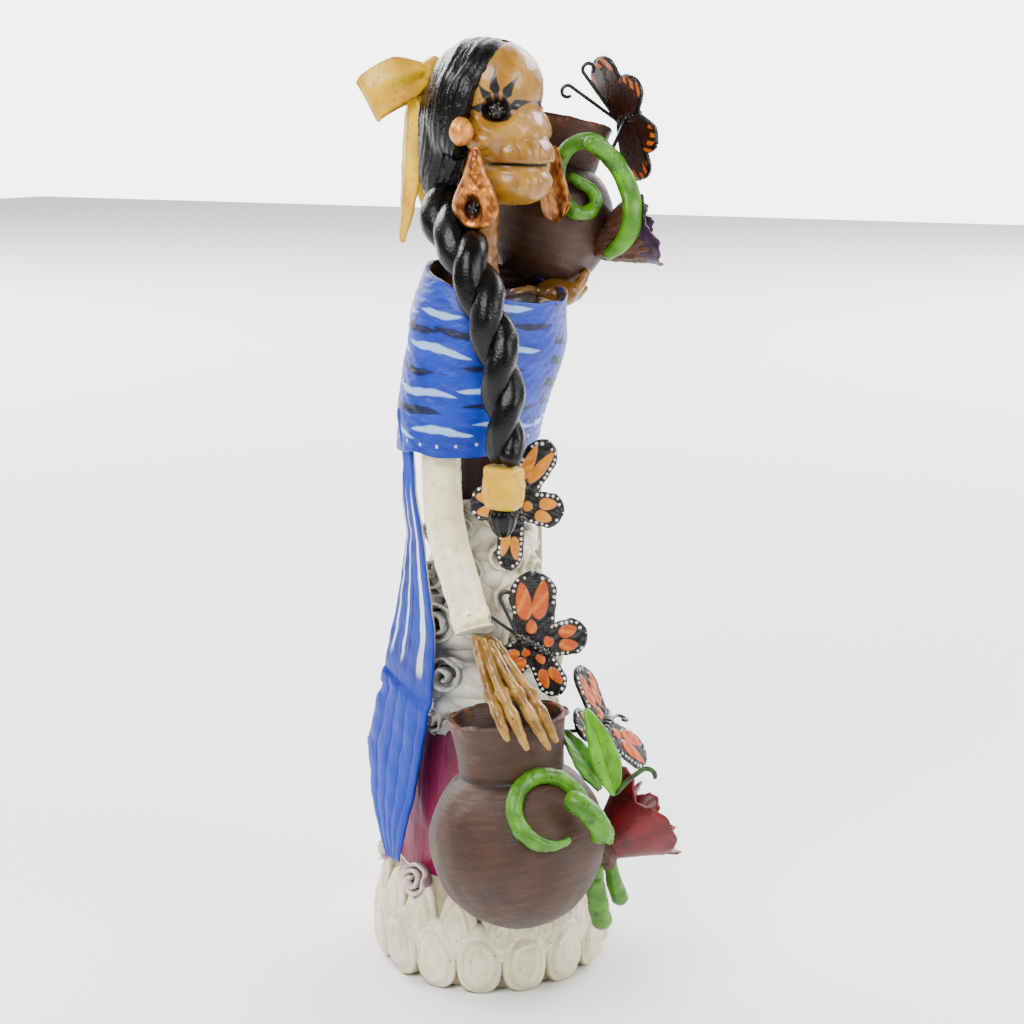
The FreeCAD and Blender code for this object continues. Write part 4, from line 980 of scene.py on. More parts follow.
def skin_of(field, core, n, m, pole, near, far, skew=0.0):
    """Where rays from core leave a field, and the rays, as n by m grids; skew crowds them to the front."""
    t = np.linspace(pole, math.pi - pole, n)[:, None]
    a = np.linspace(0, 2 * math.pi, m, endpoint=False)[None, :]
    a = a + skew * np.sin(a)
    ray = np.stack([np.sin(t) * np.sin(a), np.sin(t) * np.cos(a), np.cos(t) * np.ones_like(a)], -1)
    low, high = np.full((n, m), near), np.full((n, m), far)
    for _ in range(22):
        half = (low + high) / 2
        inside = field(core + ray * half[..., None]) < 0
        low, high = np.where(inside, half, low), np.where(inside, high, half)
    return core + ray * low[..., None], ray


EYE = vec(10.7, -10.5, 277.6)
EYE_OUT = unit(vec(0.75, -0.66, 0.0))
EYE_ACROSS = vec(0.587, 0.809, 0)


def mirrored(v, s):
    return v * vec(s, 1, 1)


def skull_field(q):
    """The skull without its neck: brow, cheeks, upper jaw, lower jaw and eye sockets."""
    field = egg(q, vec(0, 1.5, 281), vec(16.3, 17.4, 16.8))
    field = soft_min(field, egg(q, vec(0, -5.6, 285.5), vec(13.2, 11.2, 11.8)), 3.0)
    field = soft_min(field, egg(q, vec(0, -7.6, 271.5), vec(13.2, 11.6, 8.2)), 3.0)
    field = soft_min(field, egg(q, vec(0, -9.6, 264.6), vec(12.2, 12.4, 7.2)), 2.0)
    field = soft_min(field, egg(q, vec(0, -9.2, 256.2), vec(11.6, 12.2, 7.0)), 1.2)
    field = soft_min(field, egg(q, vec(0, 1, 262), vec(10.5, 9.5, 10)), 3.0)
    for s in (-1, 1):
        field = soft_min(field, egg(q, vec(s * 11.8, -6.8, 269.5), vec(4.8, 6.4, 4.8)), 2.5)
        socket = mirrored(EYE + EYE_OUT * 3.4, s)
        field = -soft_min(-field, egg(q, socket, vec(5.2, 5.6, 4.5)), 0.9)
    return field


def cluster(count):
    """Level and upright offsets of beads set in a spiral."""
    return [(0.62 * math.sqrt(k) * math.cos(2.4 * k), 0.62 * math.sqrt(k) * math.sin(2.4 * k)) for k in range(count)]


# Each painted flame's angle round the eye in degrees, its reach and its half width.
FLAMES = ((172, 9.4, 1.5), (124, 10.2, 1.5), (93, 14.2, 1.55), (57, 13.2, 1.6), (14, 12.6, 1.5))


def head_piece():
    """The skull with its teeth, mouth and flames, the neck and the beads in the sockets."""
    bits = Bits()
    q, ray = skin_of(skull_field, vec(0, -4, 270), 420, 620, 0.015, 1.0, 34.0, 0.42)
    x, y, z = q[..., 0], q[..., 1], q[..., 2]
    front = ease(-y, 4, 10)
    arc = np.sign(x) * np.hypot(x, 0.4) * 1.12
    teeth = np.abs(np.sin(math.pi * arc / 3.3))
    upper = peak(z, 266.2, 2.6) * front
    lower = peak(z, 256.4, 2.8) * front
    lift = 0.28 * upper * teeth**0.8 + 0.20 * lower * teeth**0.8 - 0.20 * (upper + lower)
    for s in (-1, 1):
        d = q - mirrored(EYE + EYE_OUT * 1.4, s)
        reach = np.sqrt((d @ mirrored(EYE_ACROSS, s)) ** 2 + d[..., 2] ** 2)
        lift = lift + 0.9 * peak(reach, 6.2, 1.3) * ease(-d[..., 2], -2.5, 3.0) * (s * x > 0)
    lift = lift + 0.35 * peak(z, 270.4, 1.1) * front * np.cos(arc * 0.9 + 0.5)
    slit_z = 261.3 + 0.0024 * x**2
    slit = peak(z, slit_z, 0.55) * ease(12.2 - np.abs(x), 0.0, 1.2) * front
    lift = lift - 1.5 * slit + 0.30 * peak(z, slit_z + 1.5, 0.8) * front + 0.25 * peak(z, slit_z - 1.5, 0.8) * front
    lift = lift + 0.16 * ripple(q, 11, 400) + 0.04 * ripple(q, 3.4, 401)
    q = q + ray * lift[..., None]
    ochre, deep = rgb(182, 132, 56), rgb(112, 70, 20)
    tone = ease(ripple(q, 12, 402), -1, 1)[..., None]
    paint = blend(rgb(156, 122, 40), rgb(182, 148, 60), tone)
    tone_and_shade = 0.75 * (upper + lower) * (1 - teeth) ** 1.5 + 0.5 * peak(z, 263.4, 0.8) * front
    tone_and_shade = tone_and_shade + 0.45 * peak(z, 269.2, 0.9) * front * ease(ripple(q, 5, 403), -0.6, 0.8)
    ring = np.zeros_like(x)
    flames = np.zeros_like(x)
    for s in (-1, 1):
        d = q - mirrored(EYE + EYE_OUT * 2.0, s)
        e1 = d @ mirrored(-EYE_ACROSS, s)
        e2 = d[..., 2]
        ring = ring + ease(5.4 - np.hypot(e1 * 0.9, e2 * 1.3), 0, 1.4) * (s * x > 0)
        near = (y < -1) & (s * x > 0.3)
        for degrees, reach, wide in FLAMES:
            angle = math.radians(degrees)
            u = e1 * math.cos(angle) + e2 * math.sin(angle)
            v = -e1 * math.sin(angle) + e2 * math.cos(angle) + 0.3 * np.sin(u * 0.6)
            k = (u - 2.6) / (reach - 2.6)
            belly = 0.34
            swelling, tapering = 0.75 + 0.25 * np.cos((k - belly) * 18), (1 - (k - belly) / 0.66).clip(0) ** 1.6
            half = wide * np.where(k < belly, swelling, tapering)
            flames = np.maximum(flames, ease(half - np.abs(v), -0.10, 0.12) * (k > 0) * (k < 1) * near)
    tone_and_shade = tone_and_shade + 0.75 * ring
    paint = blend(paint, deep, tone_and_shade.clip(0, 0.85)[..., None])
    paint = blend(paint, ochre, 0.2)
    paint = blend(paint, rgb(10, 7, 5), flames[..., None])
    paint = blend(paint, rgb(12, 7, 4), (slit * 1.3).clip(0, 1)[..., None])
    paint = blend(paint, rgb(12, 8, 6), (0.9 * ease(ring, 0.35, 1.0))[..., None])
    bits.add(q @ HEAD, paint, 0.5 * ease(ring, 0.75, 1.0))
    neck = Tube([(0, 2, 222, 4.7), (0, 2, 230, 4.7), (0, 2.4, 238, 4.9), (*in_head(0, 3.0, 252), 6.2),
                 (*in_head(0, 2.0, 262), 6.6)], 90, 40)
    neck.swell(0.05 * np.sin(neck.mm * 1.5 + 0.7 * np.sin(neck.a)) + 0.25 * ripple(neck.p, 8, 404) - 0.2)
    tone = ease(ripple(neck.p, 6, 405), -1, 1)[..., None]
    bits.add(neck.p, blend(rgb(176, 128, 62), rgb(126, 84, 36), tone), 0.1)
    bits.make("skull_modelled", SKIN, stands_for=["skull"], slot="skin_clay")
    beads = Bits()
    dice = np.random.default_rng(12)
    for s in (-1, 1):
        heart = mirrored(EYE - EYE_OUT * 1.0, s)
        out, across = mirrored(EYE_OUT, s), mirrored(vec(EYE_OUT[1], -EYE_OUT[0], 0), s)
        beads.ball(in_head(*heart), (2.6, 2.6, 2.7), UP, FACE_X, rgb(16, 12, 10), 0.2)
        for across_by, up_by in cluster(14):
            rise = 2.2 - 0.14 * (across_by**2 + up_by**2) + dice.uniform(-0.15, 0.15)
            at = heart + out * rise + across * across_by + UP * up_by
            beads.ball(in_head(*at), (0.6, 0.6, 0.6), UP, FACE_X, rgb(30, 26, 24), 0, 8, 12)
    beads.make("eye_bead_clusters", BEAD, stands_for=["eye_beads"], slot="bead_black")


def hair_field(q):
    """The hair before combing: cap, nape, the root of the braid and the locks over the ears."""
    cap = egg(q, vec(0, 1.6, 280.4), vec(19.0, 19.4, 19.0))
    cap = soft_min(cap, egg(q, vec(-1, 9.4, 270), vec(14.6, 13.2, 20)), 5.0)
    cap = soft_min(cap, egg(q, vec(-3.5, 11.5, 257), vec(9.2, 8.2, 12)), 4.0)
    for s in (-1, 1):
        cap = soft_min(cap, egg(q, vec(s * 15.8, 0.6, 276), vec(4.6, 9.6, 12)), 3.0)
    return cap


# The hair line on the face: heights and how far back it lies there.
HAIR_LINE = vec(250, 6, 255, 4, 262, 1, 268, -2.0, 278, -5.9, 284, -7.1, 291.5, -8.7, 299, -8.9).reshape(-1, 2)


def hair_piece():
    """Combed hair with a middle parting; it is tucked into the skull where the face is."""
    bits = Bits()
    q, ray = skin_of(hair_field, vec(0, 3.0, 272), 300, 560, 0.02, 0.5, 40.0)
    x, y, z = q[..., 0], q[..., 1], q[..., 2]
    line = np.interp(z, HAIR_LINE[:, 0], HAIR_LINE[:, 1]) + 0.3 * ripple(q, 6, 409)
    hidden = ease(line - y, -0.4, 0.9)
    tuck = hidden * (7.0 + 0.1 * (line - y).clip(0, 20))
    across = (y - line) * (1.0 - 0.012 * (z - 262).clip(0, 40)) + 0.10 * np.abs(x) * ease(z, 284, 296)
    comb = np.abs(np.sin(across * 0.55 + 0.8 * ripple(q, 18, 410)))
    parting = 0.9 * peak(x, 0, 0.9) * ease(z, 284, 292)
    lift = 0.55 * comb**0.6 - 0.35 + 0.10 * np.sin(across * 3.1 + 1.5 * ripple(q, 12, 412)) - parting
    q = q + ray * (lift * (1 - hidden) - tuck)[..., None]
    back = ease(y, 2, 12)
    q[..., 1] = q[..., 1] + back * (1.6 * peak(z, 258, 8) - 1.8 * peak(z, 287, 8))
    q[..., 2] = np.where(hidden > 0.5, np.minimum(q[..., 2], 294), q[..., 2])
    strands = np.sin(across * 3.1 + 1.5 * ripple(q, 12, 412)) + 0.9 * ripple(q, 5, 411)
    # Grey streaks on the crown are dry brushing and also a painted highlight on top of the head.
    dry_brush_and_highlight = ease(strands, 0.9, 1.5) * ease(z, 289, 298) * 0.22
    paint = blend(rgb(15, 15, 17), rgb(120, 122, 126), dry_brush_and_highlight[..., None])
    # The comb's grooves are darkened: painted shade.
    bits.add(q @ HEAD, paint, 0.8 * (1 - comb) ** 3)
    bits.make("hair_combed", HAIR, stands_for=["hair"], slot="hair_black")


BRAID = [(*in_head(-6, 12.6, 251), 6.6), (-15.6, 6.4, 245, 7.2), (-25.4, -6.4, 235, 6.9), (-30.6, -16.0, 219, 6.6),
         (-31.4, -20.6, 204, 6.2), (-31.8, -22.2, 190, 5.7), (-32.3, -22.8, 180, 5.2), (-32.6, -22.6, 174.4, 4.6)]


def braid_pieces():
    """A braid of two twisted strands, its tie and its tassel."""
    bits = Bits()
    rows = spline(BRAID, 190)
    line, radius = rows[:, :3], rows[:, 3]
    _, first, second = carried(line, (0.3, 0.3, 1))
    length = np.concatenate([[0], np.cumsum(np.linalg.norm(np.diff(line, axis=0), axis=1))])
    for strand in (0, 1):
        twist = length / 31.0 * 2 * math.pi + strand * math.pi + 2.0
        centre = line + (np.cos(twist)[:, None] * first + np.sin(twist)[:, None] * second) * (radius * 0.40)[:, None]
        skin = Tube(np.concatenate([centre, (radius * 0.70)[:, None]], 1)[::6], 240, 56)
        combed = 0.16 * np.abs(np.sin(2.5 * skin.a + skin.mm * 0.20 + strand)) ** 0.8 - 0.08
        skin.swell(combed + 0.16 * ripple(skin.p, 9, 420 + strand))
        # The strands' ridges are greyed as dry brushing and painted highlight, and the grooves are darkened as
        # painted shade.
        dry_brush_and_highlight = ease(combed + 0.2 * ripple(skin.p, 3, 421), 0.14, 0.3)[..., None] * 0.05
        bits.add(skin.p, blend(rgb(14, 14, 16), rgb(120, 120, 124), dry_brush_and_highlight), 0.3 * (combed < -0.1))
    bits.make("braid_twisted", HAIR, stands_for=["braid"], slot="hair_black")
    tie = Bits()
    low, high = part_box("braid_tie")
    top, end = vec(-32.6, -22.6, high.z / MM - 0.4), vec(-33.2, -22.4, low.z / MM + 0.4)
    profile = ((0, 5.6), (0.1, 6.3), (0.5, 6.6), (0.88, 6.4), (1, 5.0))
    band = Tube([(*blend(top, end, t), r) for t, r in profile], 80, 72, start_round=False, end_round=False)
    band.swell(0.35 * ripple(band.p, 6, 430) + 0.3 * np.sin(band.a * 2 + 1) + 0.12 * ripple(band.p, 2.5, 432) - 0.2)
    smudge = ease(ripple(band.p, 7, 431, 3), 0.3, 0.9)[..., None]
    paint = blend(rgb(214, 178, 0), rgb(232, 198, 16), smudge * 0.5)
    paint = blend(paint, rgb(176, 158, 60), 0.4 * (ease(band.s, 0.9, 1.0) + ease(band.s, 0.1, 0))[..., None])
    tie.add(band.p, paint)
    tie.make("braid_tie_painted", RIBBON, stands_for=["braid_tie"], slot="ribbon_yellow")
    tassel = Bits()
    tuft = Tube([(*(end + UP * 1.5), 4.2), (*(end - UP * 3), 4.3), (*(end - UP * 9.2), 2.6)], 60, 48)
    tuft.swell(0.5 * np.abs(np.sin(tuft.a * 5 + tuft.s)) - 0.35)
    tassel.add(tuft.p, rgb(14, 14, 16))
    tassel.make("braid_tassel_combed", HAIR, stands_for=["braid_tassel"], slot="hair_black")


def ribbon_paint(p, seed, folds=0.0):
    """Worn yellow, with orange patches and orange painted shade in the folds, and a few greenish smears."""
    yellow = blend(rgb(202, 164, 0), rgb(224, 190, 8), ease(ripple(p, 10, seed), -1, 1)[..., None])
    orange = 0.5 * (ease(ripple(p, 6, seed + 1, 3), 0.6, 1.0) + folds)[..., None].clip(0, 1)
    yellow = blend(yellow, rgb(196, 112, 36), orange)
    return blend(yellow, rgb(120, 150, 60), 0.30 * ease(ripple(p, 7, seed + 2, 3), 0.75, 1.1)[..., None])


def bow_pieces():
    """Two folded loops, two leaf-shaped tails and the knot."""
    knot = in_head(-2, 20.2, 289.5)
    loops, tails = Bits(), Bits()
    for s in (-1, 1):
        end = knot + in_head(s * 17.5, 13.0, 0) - UP * 10.5
        ahead = unit(end - knot)
        wide = unit(np.cross(ahead, UP) * 0.25 + UP * 1.0 - ahead * (ahead @ UP))
        flat = np.cross(ahead, wide) * s
        t = np.linspace(0, 1, 130)[:, None]
        u = np.linspace(-1, 1, 44)[None, :]
        reach = np.linalg.norm(end - knot) * 1.06
        out_and_back = np.where(t < 0.55, t / 0.55, 1 - (t - 0.55) / 0.45 * 0.86)
        bend = ease(out_and_back, 0.0, 1.0)
        along = reach * (out_and_back - 0.10 * peak(t, 0.55, 0.05))
        layer = np.where(t < 0.55, 1.0, -1.0) * (2.6 * np.sin(math.pi * out_and_back.clip(0, 1)) ** 0.7 + 0.15)
        layer = smoothed(layer[:, 0], 4)[:, None]
        half = 3.0 + 4.2 * ease(out_and_back, 0.0, 0.45)
        pleat = 0.7 * np.sin(4.6 * u + 0.9) * (1.05 - 0.75 * bend) + 0.3 * np.sin(9 * u + 1) * (1 - bend)
        arch = 2.4 * np.sin(math.pi * out_and_back * 0.85)
        p = moved(knot, (along, ahead), (u * half, wide), (layer + pleat - 0.8 * u**2 * bend, flat), (arch, UP))
        # The loop's returning half is darkened: painted shade inside the loop, with orange painted shade in its
        # pleats.
        loops.slab(p, 1.2, ribbon_paint(p, 440 + s, 0.5 * (pleat < -0.35)), 0.3 * ease(t, 0.56, 0.62))
        root = knot + in_head(s * 4.0, 4.4, 0) - UP * 2.6
        tip = in_head(s * 8.5, 27.5, 237.0)
        down = unit(tip - root)
        face = unit(in_head(s * 0.95, 0.35, 0))
        across = unit(np.cross(down, face))
        t = np.linspace(0, 1, 90)[:, None]
        u = np.linspace(-1, 1, 30)[None, :]
        size = np.linalg.norm(tip - root)
        half = 5.4 * (np.sin(math.pi * t.clip(0.06, 1) ** 0.85) ** 0.75 + 0.05)
        bulge = -2.2 * np.sin(math.pi * t)
        lift = 0.8 * (1 - u**2) + 0.3 * peak(u, 0.25, 0.12)
        lift = lift + 0.2 * ripple(knot + t[..., None] * down * size, 9, 450)
        p = moved(root, (t * size, down), (u * half + bulge, across), (lift, face))
        # The tail's crease is darkened: painted shade.
        tails.slab(p, 1.4, ribbon_paint(p, 460 + s), 0.2 * peak(u, 0.25, 0.05))
    loops.make("bow_loops_folded", RIBBON, stands_for=["bow_loops"], slot="ribbon_yellow")
    tails.make("bow_tails_shaped", RIBBON, stands_for=["bow_tails"], slot="ribbon_yellow")
    tight = Bits()
    tight.ball(knot, (4.2, 3.7, 4.2), UP, FACE_X, ribbon_paint(knot + np.zeros((24, 40, 3)), 470), 0.0, 24, 40,
               lambda q: 0.07 * np.sin(7 * q[..., 0] + 1) + 0.04 * np.sin(13 * q[..., 0]))
    tight.make("bow_knot_folded", RIBBON, stands_for=["bow_knot"], slot="ribbon_yellow")


def earring_pieces():
    """Beaten studs and drops, with a cluster of beads in each drop."""
    metal, beads = Bits(), Bits()
    shine, dull = rgb(222, 164, 96), rgb(146, 94, 44)
    for s in (-1, 1):
        face = unit(in_head(s * 0.94, -0.34, 0))
        stud = in_head(s * 20.4, -5.0, 271.5)
        metal.ball(stud, (3.6, 3.6, 4.2), UP, FACE_X, blend(shine, dull, 0.2), 0.0, 30, 40,
                   lambda q: 0.03 * np.sin(5 * q[..., 0] + 3 * q[..., 2]) + 0.02 * np.sin(11 * q[..., 1]))
        drop = in_head(s * 20.6, -10.2, 250.6)
        side = unit(np.cross(UP, face))
        rho = np.linspace(0.01, 1, 56)[:, None]
        phi = np.linspace(0, 2 * math.pi, 96, endpoint=False)[None, :]
        b = rho * np.sin(phi)
        rounded = np.sqrt((1 - b**8).clip(0) / (1 - b**2).clip(1e-4))
        taper = blend(1.0, 0.30, ease(b, -0.1, 0.85)) * np.where(b > 0, rounded, 1.0)
        sx = 7.4 * rho * np.cos(phi) * taper
        sz = b * np.where(b > 0, 16.4, 7.6)
        hollow = np.hypot((sx - s * 0.6) / 2.9, (sz + 1.4) / 3.8)
        dome = 2.7 * np.clip(1 - rho**2.6, 0, 1) ** 0.5
        lift = dome - 2.4 * ease(1.35 - hollow, 0, 0.9) + 0.5 * peak(hollow, 1.45, 0.25)
        lift = lift + 0.15 * np.sin(3 * phi + 5 * rho) * rho
        flat = moved(drop, (sx, side), (sz, UP))
        p = moved(flat, (lift, face))
        p = moved(p, (0.16 * ripple(p, 3.5, 480 + s), face))
        rear = moved(flat, (-0.75 * dome, face))[::-1]
        copper = blend(dull, shine, ease(ripple(p, 4, 482), -1, 1)[..., None])
        # The drop's hollow is darkened: painted shade round the beads.
        dark = (0.85 * ease(1.25 - hollow, 0, 0.6)).clip(0, 0.8)
        metal.add(np.concatenate([p, rear]), np.concatenate([copper, copper[::-1]]), np.concatenate([dark, 0 * dark]))
        for across_by, up_by in cluster(7):
            at = drop + face * 1.5 - UP * (1.0 + up_by) + side * across_by
            beads.ball(at, (0.72, 0.72, 0.72), UP, side, rgb(26, 22, 20), 0, 8, 12)
    metal.make("earrings_beaten", COPPER, stands_for=["earring_studs", "earring_drops"], slot="earring_copper")
    beads.make("earring_beads", BEAD, stands_for=["earring_gems"], slot="bead_black")


# ---- butterflies ----
# For each butterfly, the ways that its painted side, its head and its feelers point, its wings (angle from
# the head in degrees, length, width), the feelers' length and its wing colour.
SPREAD = [(62, 22.0, 13.5), (139, 17.5, 11.5), (-62, 22.0, 13.5), (-139, 17.5, 11.5)]
BUTTERFLIES = {
    "chest": (direction(0, 1, 0.08), direction(-0.515, 0, 0.857), (),
              [(61, 22.0, 10.5), (133, 15.5, 11.0), (-59, 13.2, 11.0), (-144, 21.0, 8.5)], 0, rgb(216, 156, 0)),
    "hip": (direction(0, 1, 0.1), direction(-0.87, 0, 0.5),
            (direction(-0.82, -0.12, 0.56), direction(-0.42, -0.12, 0.90)),
            [(60, 22.9, 14.5), (138, 17.0, 11.5), (-67, 14.5, 11.0), (-146, 18.0, 9.5)], 12.0, rgb(198, 106, 0)),
    "skirt": (direction(0.77, 0.35, 0.53), direction(0.287, -0.933, 0.2),
              (direction(0.05, -0.99, -0.10), direction(0.30, -0.94, -0.20)), SPREAD, 9.0, rgb(200, 100, 24)),
    "pot": (direction(0.777, -0.55, 0.30), direction(-0.51, -0.83, -0.20),
            (direction(-0.80, 0.1, 0.56), direction(-0.60, 0.1, 0.80)),
            [(75, 21.5, 15.0), (130, 15.0, 12.0), (-75, 21.5, 15.0), (-130, 15.0, 12.0)], 19.0, rgb(206, 124, 20)),
}


# Each painted cell's middle and radii as shares of the wing's length and width, and its tilt in degrees.
FORE_CELLS = [(0.60, 0.44, 0.27, 0.17, 6), (0.62, -0.30, 0.28, 0.17, -10), (0.25, 0.10, 0.10, 0.12, 0)]
HIND_CELLS = [(0.66, 0.36, 0.18, 0.17, 10), (0.62, -0.40, 0.18, 0.17, -10), (0.28, 0.0, 0.10, 0.15, 0)]


def wing(bits, origin, right, ahead, face, turn, length, width, orange, seed, fore):
    """One wing: a scalloped slab with raised painted cells and rows of white dots by the rim."""
    dice = np.random.default_rng(seed)
    t = np.linspace(0.0, 1, 110)[:, None]
    u = np.linspace(-1, 1, 64)[None, :]
    a = math.radians(90 - turn)
    out, cross = right * math.cos(a) + ahead * math.sin(a), -right * math.sin(a) + ahead * math.cos(a)
    belly = np.interp(t, [0, 0.10, 0.35, 0.70], [0.34, 0.40, 0.46, 0.5]) * width
    belly = np.where(t > 0.7, 0.5 * width * np.sqrt(np.clip(1 - ((t - 0.7) / 0.302) ** 2, 0.0, 1)), belly)
    w = u * belly * (1 + 0.02 * np.sin(27 * t))
    s = 1.0 + t * (length - 1.0)
    x = s - 0.024 * width * np.sin(6 * u) * t
    fold = 0.3 * (x / length) ** 2
    edge = np.minimum(belly - np.abs(w), (1 - t) * length * 0.9)
    cells = np.zeros_like(w)
    shades = np.zeros_like(w)
    for k, (cx, cy, rx, ry, tilt) in enumerate(FORE_CELLS if fore else HIND_CELLS):
        dx, dy = x - cx * length, w - cy * width * 0.5
        ta = math.radians(tilt)
        dx, dy = dx * math.cos(ta) + dy * math.sin(ta), -dx * math.sin(ta) + dy * math.cos(ta)
        rx_mm, ry_mm = rx * length, ry * width
        r = np.sqrt((dx / rx_mm) ** 2 + (dy / (ry_mm * (1 - 0.25 * dx / rx_mm).clip(0.3, 1.4))) ** 2)
        cell = ease(1 - r, -0.02, 0.10)
        cells = np.maximum(cells, cell)
        shades = np.where(cell > 0.3, 0.5 + 0.5 * np.sin(0.8 * dx + 1.4 * dy + seed + k), shades)
    lift = 0.26 * cells + 0.10 * ripple(np.stack([x + 0 * w, w, 0 * w + seed], -1), 3, seed)
    paint = blend(rgb(17, 15, 15), orange, cells[..., None])
    paint = blend(paint, rgb(232, 166, 20), (cells * 0.45 * ease(shades, 0.5, 1.0))[..., None])
    dots = np.zeros_like(w)
    steps = int(length * 0.95 / 2.2)
    inset = 0.85
    for k in range(steps * 2):
        side = 1 if k % 2 else -1
        along = 0.30 + 0.70 * (k // 2 + 0.5) / steps
        cx, cy = 1.0 + along * (length - 1.0), side * max(np.interp(along, t[:, 0], belly[:, 0]) - inset, 0.2)
        if along > 0.93:
            cx -= inset
        if dice.uniform() < 0.14:
            continue
        r = np.hypot(x - cx - dice.uniform(-0.2, 0.2), w - cy - dice.uniform(-0.1, 0.1))
        dots = np.maximum(dots, ease(dice.uniform(0.42, 0.62) - r, 0, 0.18))
    paint = blend(paint, rgb(236, 232, 222), dots[..., None])
    lift = lift + 0.18 * dots
    p = moved(origin, (x, out), (w, cross), (fold, face))
    half = 0.85 * (0.25 + 0.75 * np.clip(edge / 0.9, 0.0, 1.0) ** 0.5)
    under = blend(rgb(74, 44, 30), rgb(15, 14, 14), ease(1.9 - edge, 0, 0.9)[..., None])
    rim_cells = ease(t, 0.62, 0.70) * ease(edge, 0.7, 1.1) * ease(3.4 - edge, 0, 0.5)
    rim_cells = rim_cells * ease(np.sin(w * 1.9 + x), -0.3, 0.1)
    under = blend(under, orange, rim_cells[..., None])
    bits.shell(moved(p, (half + lift, face)), moved(p, (-half, face)), paint, under)


def butterflies():
    """Four butterflies, each on the body that its wire bends with."""
    for k, (name, (face, head, feelers, wings, reach, orange)) in enumerate(BUTTERFLIES.items()):
        node = "butterfly_" + name
        low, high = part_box(node + "_body")
        y_axis = unit(head - face * (head @ face))
        x_axis = np.cross(y_axis, face)
        heart = np.array((low + high) / 2) / MM - face * 0.4
        skins = Bits()
        for i, (turn, length, width) in enumerate(wings):
            wing(skins, heart, x_axis, y_axis, face, turn, length, width, orange, 500 + 10 * k + i, i % 2 == 0)
        skins.make(node + "_wings_painted", WING, node, stands_for=[node + "_wings"], slot="monarch_wing")
        trunk = Bits()
        profile = ((-6.8, 0.9), (-4.0, 1.6), (0, 1.7), (3.0, 1.9), (4.8, 1.3), (6.8, 1.5))
        body = Tube([(*(heart + face * 0.7 + y_axis * d), r) for d, r in profile], 90, 30)
        body.swell(0.16 * np.sin(body.mm * 3.4))
        spots = ease(np.sin(body.mm * 3.4) * np.sin(body.a * 6), 0.88, 0.96)[..., None]
        trunk.add(body.p, blend(rgb(14, 13, 13), rgb(210, 208, 200), spots))
        trunk.make(node + "_trunk", WING, node, stands_for=[node + "_body"], slot="monarch_wing")
        if not feelers:
            continue
        wires = Bits()
        nose = heart + y_axis * 6.0 + face * 0.4
        bend = unit(np.cross(feelers[0], feelers[1]))
        for hand, way in zip((-1, 1), feelers):
            knee = nose + way * reach
            outward = np.cross(bend, way) * hand
            curl = 1.9
            hook = ring_stations(knee + outward * curl, bend * hand, -outward, 262, curl, 0.62, 22, inward=0.12,
                                 taper=0.1)
            wire = Tube([(*nose, 0.6), (*blend(nose, knee, 0.5), 0.6)] + hook, 150, 16)
            wires.add(wire.p, rgb(16, 15, 15))
        wires.make(node + "_curled_wires", WIRE, node, stands_for=[node + "_feelers"], slot="wire_black")


# ---- collar bones and the small plain pieces ----
def chest_pieces():
    bits = Bits()
    for s in (-1, 1):
        bone = Tube([(s * 2.5, -6.2, 221.5, 1.6), (s * 9, -8.2, 222.2, 1.5), (s * 16, -6.6, 221.5, 1.7),
                     (s * 21, -3.0, 219.5, 1.8)], 60, 20)
        bone.swell(0.2 * ripple(bone.p, 5, 600))
        bits.add(bone.p, TAN * 0.85, 0.12)
    bits.make("collar_bones", SKIN, slot="skin_clay")


def plain_finishes():
    """CAD pieces that are shown as they are, in finishes of their own."""
    # The torso and the waistband are dark: painted shade in the gap under the shawl and at the skirt's top.
    deep = finish("chest in painted shade", 0.5, 0.1, 0.25, 1.2, 0.4, base=rgb(84, 38, 44), base_two=rgb(46, 24, 26))
    band = finish("waistband in painted shade", 0.5, 0.0, 0.3, 1.2, 0.4, base=rgb(92, 30, 60), base_two=rgb(52, 18, 38))
    wire = finish("stem paint", 0.35, 0.4, 0.25, 0.7, 0.3, base=rgb(22, 20, 20), base_two=rgb(12, 12, 12))
    peg = finish("peg clay", 0.6, 0.0, 0.2, 1.0, 0.4, base=rgb(180, 128, 72), base_two=rgb(150, 100, 54))
    plans = {"torso": deep, "waistband": band, "neck_peg": peg}
    plans.update({"butterfly_" + name + "_stem": wire for name in BUTTERFLIES})
    for node, material in plans.items():
        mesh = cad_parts[node].data
        mesh.materials.clear()
        mesh.materials.append(material)


# ---- stage ----
def paper_floor():
    mesh = bpy.data.meshes.new("floor")
    reach = 4.0
    corners = [(-reach, -reach, 0), (reach, -reach, 0), (reach, reach, 0), (-reach, reach, 0)]
    mesh.from_pydata(corners, [], [(0, 1, 2, 3)])
    ground = bpy.data.objects.new("floor", mesh)
    bpy.context.scene.collection.objects.link(ground)
    pale = bpy.data.materials.new("pale paper")
    pale.use_nodes = True
    tree = pale.node_tree
    shader = tree.nodes["Principled BSDF"]
    paper = tree.nodes.new("ShaderNodeTexNoise")
    paper.inputs["Scale"].default_value = 3.0
    tree.links.new(ramp(tree, paper.outputs["Fac"], 0.0, 1.0, 0.93, 0.95), shader.inputs["Base Color"])
    shader.inputs["Roughness"].default_value = 0.9
    mesh.materials.append(pale)


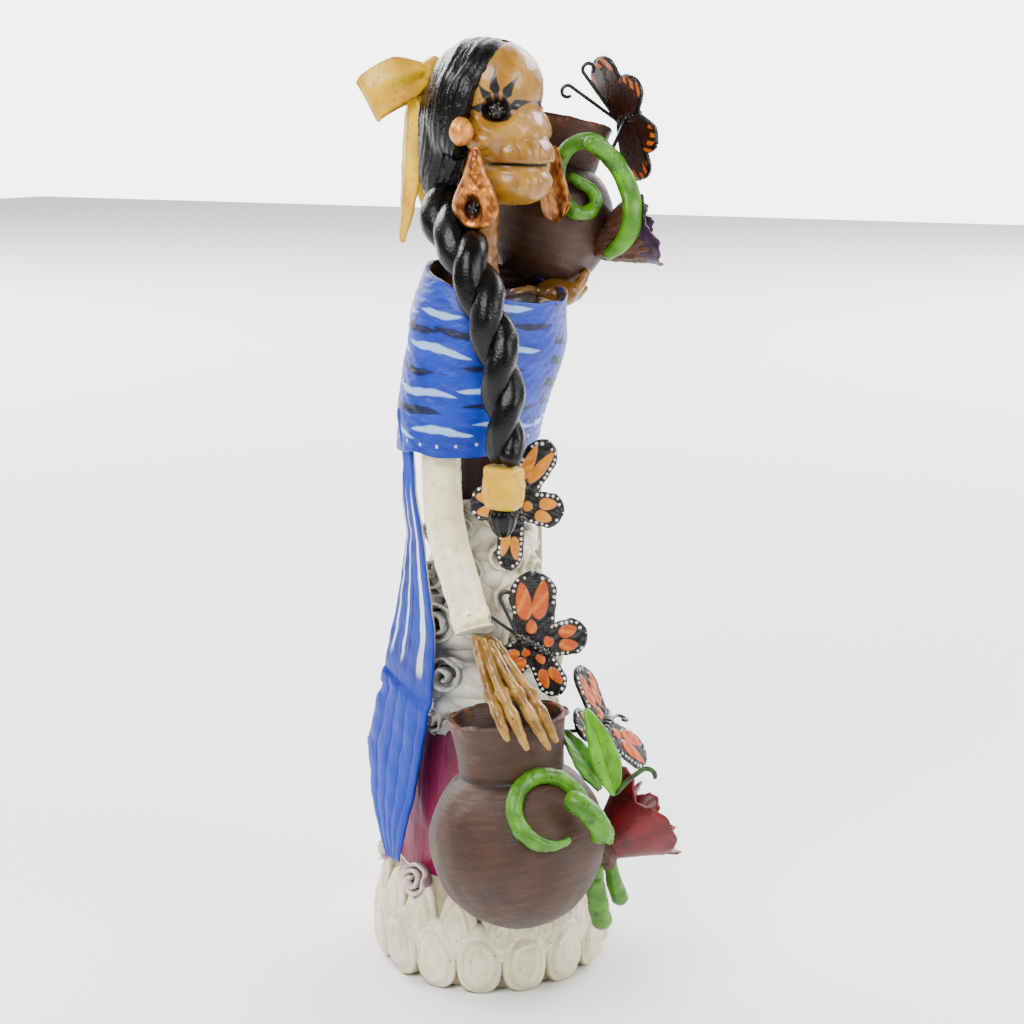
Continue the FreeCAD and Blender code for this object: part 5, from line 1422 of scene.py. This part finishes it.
def studio_world():
    """A white surround, bright behind the figure and dim elsewhere."""
    world = bpy.data.worlds.new("studio")
    bpy.context.scene.world = world
    world.use_nodes = True
    tree = world.node_tree
    background = tree.nodes["Background"]
    background.inputs["Color"].default_value = (1, 1, 1, 1)
    sky = tree.nodes.new("ShaderNodeTexCoord")
    toward = tree.nodes.new("ShaderNodeVectorMath")
    toward.operation = "DOT_PRODUCT"
    toward.inputs[1].default_value = tuple(unit(UP * 0.12 - SIDE))
    tree.links.new(sky.outputs["Generated"], toward.inputs[0])
    strength = ramp(tree, toward.outputs["Value"], 0.55, 0.97, 0.4, 5.5, "SMOOTHSTEP")
    tree.links.new(strength, background.inputs["Strength"])


def lamps():
    """Square lamps: name, place, the point they face, side in metres and power in watts."""
    middle = spot(5, 0, 150)
    left, right = spot(-1500, -1500, 1400), spot(1500, -1500, 1400)
    for name, place, aim, size, power in (
            ("key", spot(-220, 420, 640), middle, 0.34, 6.6), ("front", spot(520, 300, 420), middle, 0.30, 3.2),
            ("back", spot(-300, -420, 460), middle, 0.5, 1.2), ("sweep left", left, left * (1, 1, 0), 1.6, 130.0),
            ("sweep right", right, right * (1, 1, 0), 1.6, 130.0)):
        light = bpy.data.lights.new(name, "AREA")
        light.size = size
        light.energy = power
        lamp = bpy.data.objects.new(name, light)
        lamp.location = Vector(place * MM)
        lamp.rotation_euler = Vector((aim - place) * MM).to_track_quat("-Z", "Y").to_euler()
        bpy.context.scene.collection.objects.link(lamp)


def camera():
    """The photo's viewpoint: level with the head, to the figure's right and looking down a little."""
    lens = bpy.data.cameras.new("camera")
    lens.sensor_width = 36.0
    lens.lens = 58.0
    lens.clip_start = 0.01
    eye = bpy.data.objects.new("camera", lens)
    down = math.radians(13.5)
    aside, away, height = 7, 520, 276
    eye.location = Vector(spot(aside, away, height) * MM)
    look = -SIDE * math.cos(down) - UP * math.sin(down)
    eye.rotation_euler = Vector(look).to_track_quat("-Z", "Y").to_euler()
    bpy.context.scene.collection.objects.link(eye)
    bpy.context.scene.camera = eye


skirt_piece()
hem_pieces()
roses_piece()
arms()
hands()
shawl_wrap()
shawl_panels()
pot("pot_lower", LOWER, 101)
pot("pot_upper", UPPER, 105)
lower_flowers()
upper_flowers()
head_piece()
hair_piece()
braid_pieces()
bow_pieces()
earring_pieces()
butterflies()
chest_pieces()
plain_finishes()
paper_floor()
studio_world()
lamps()
camera()
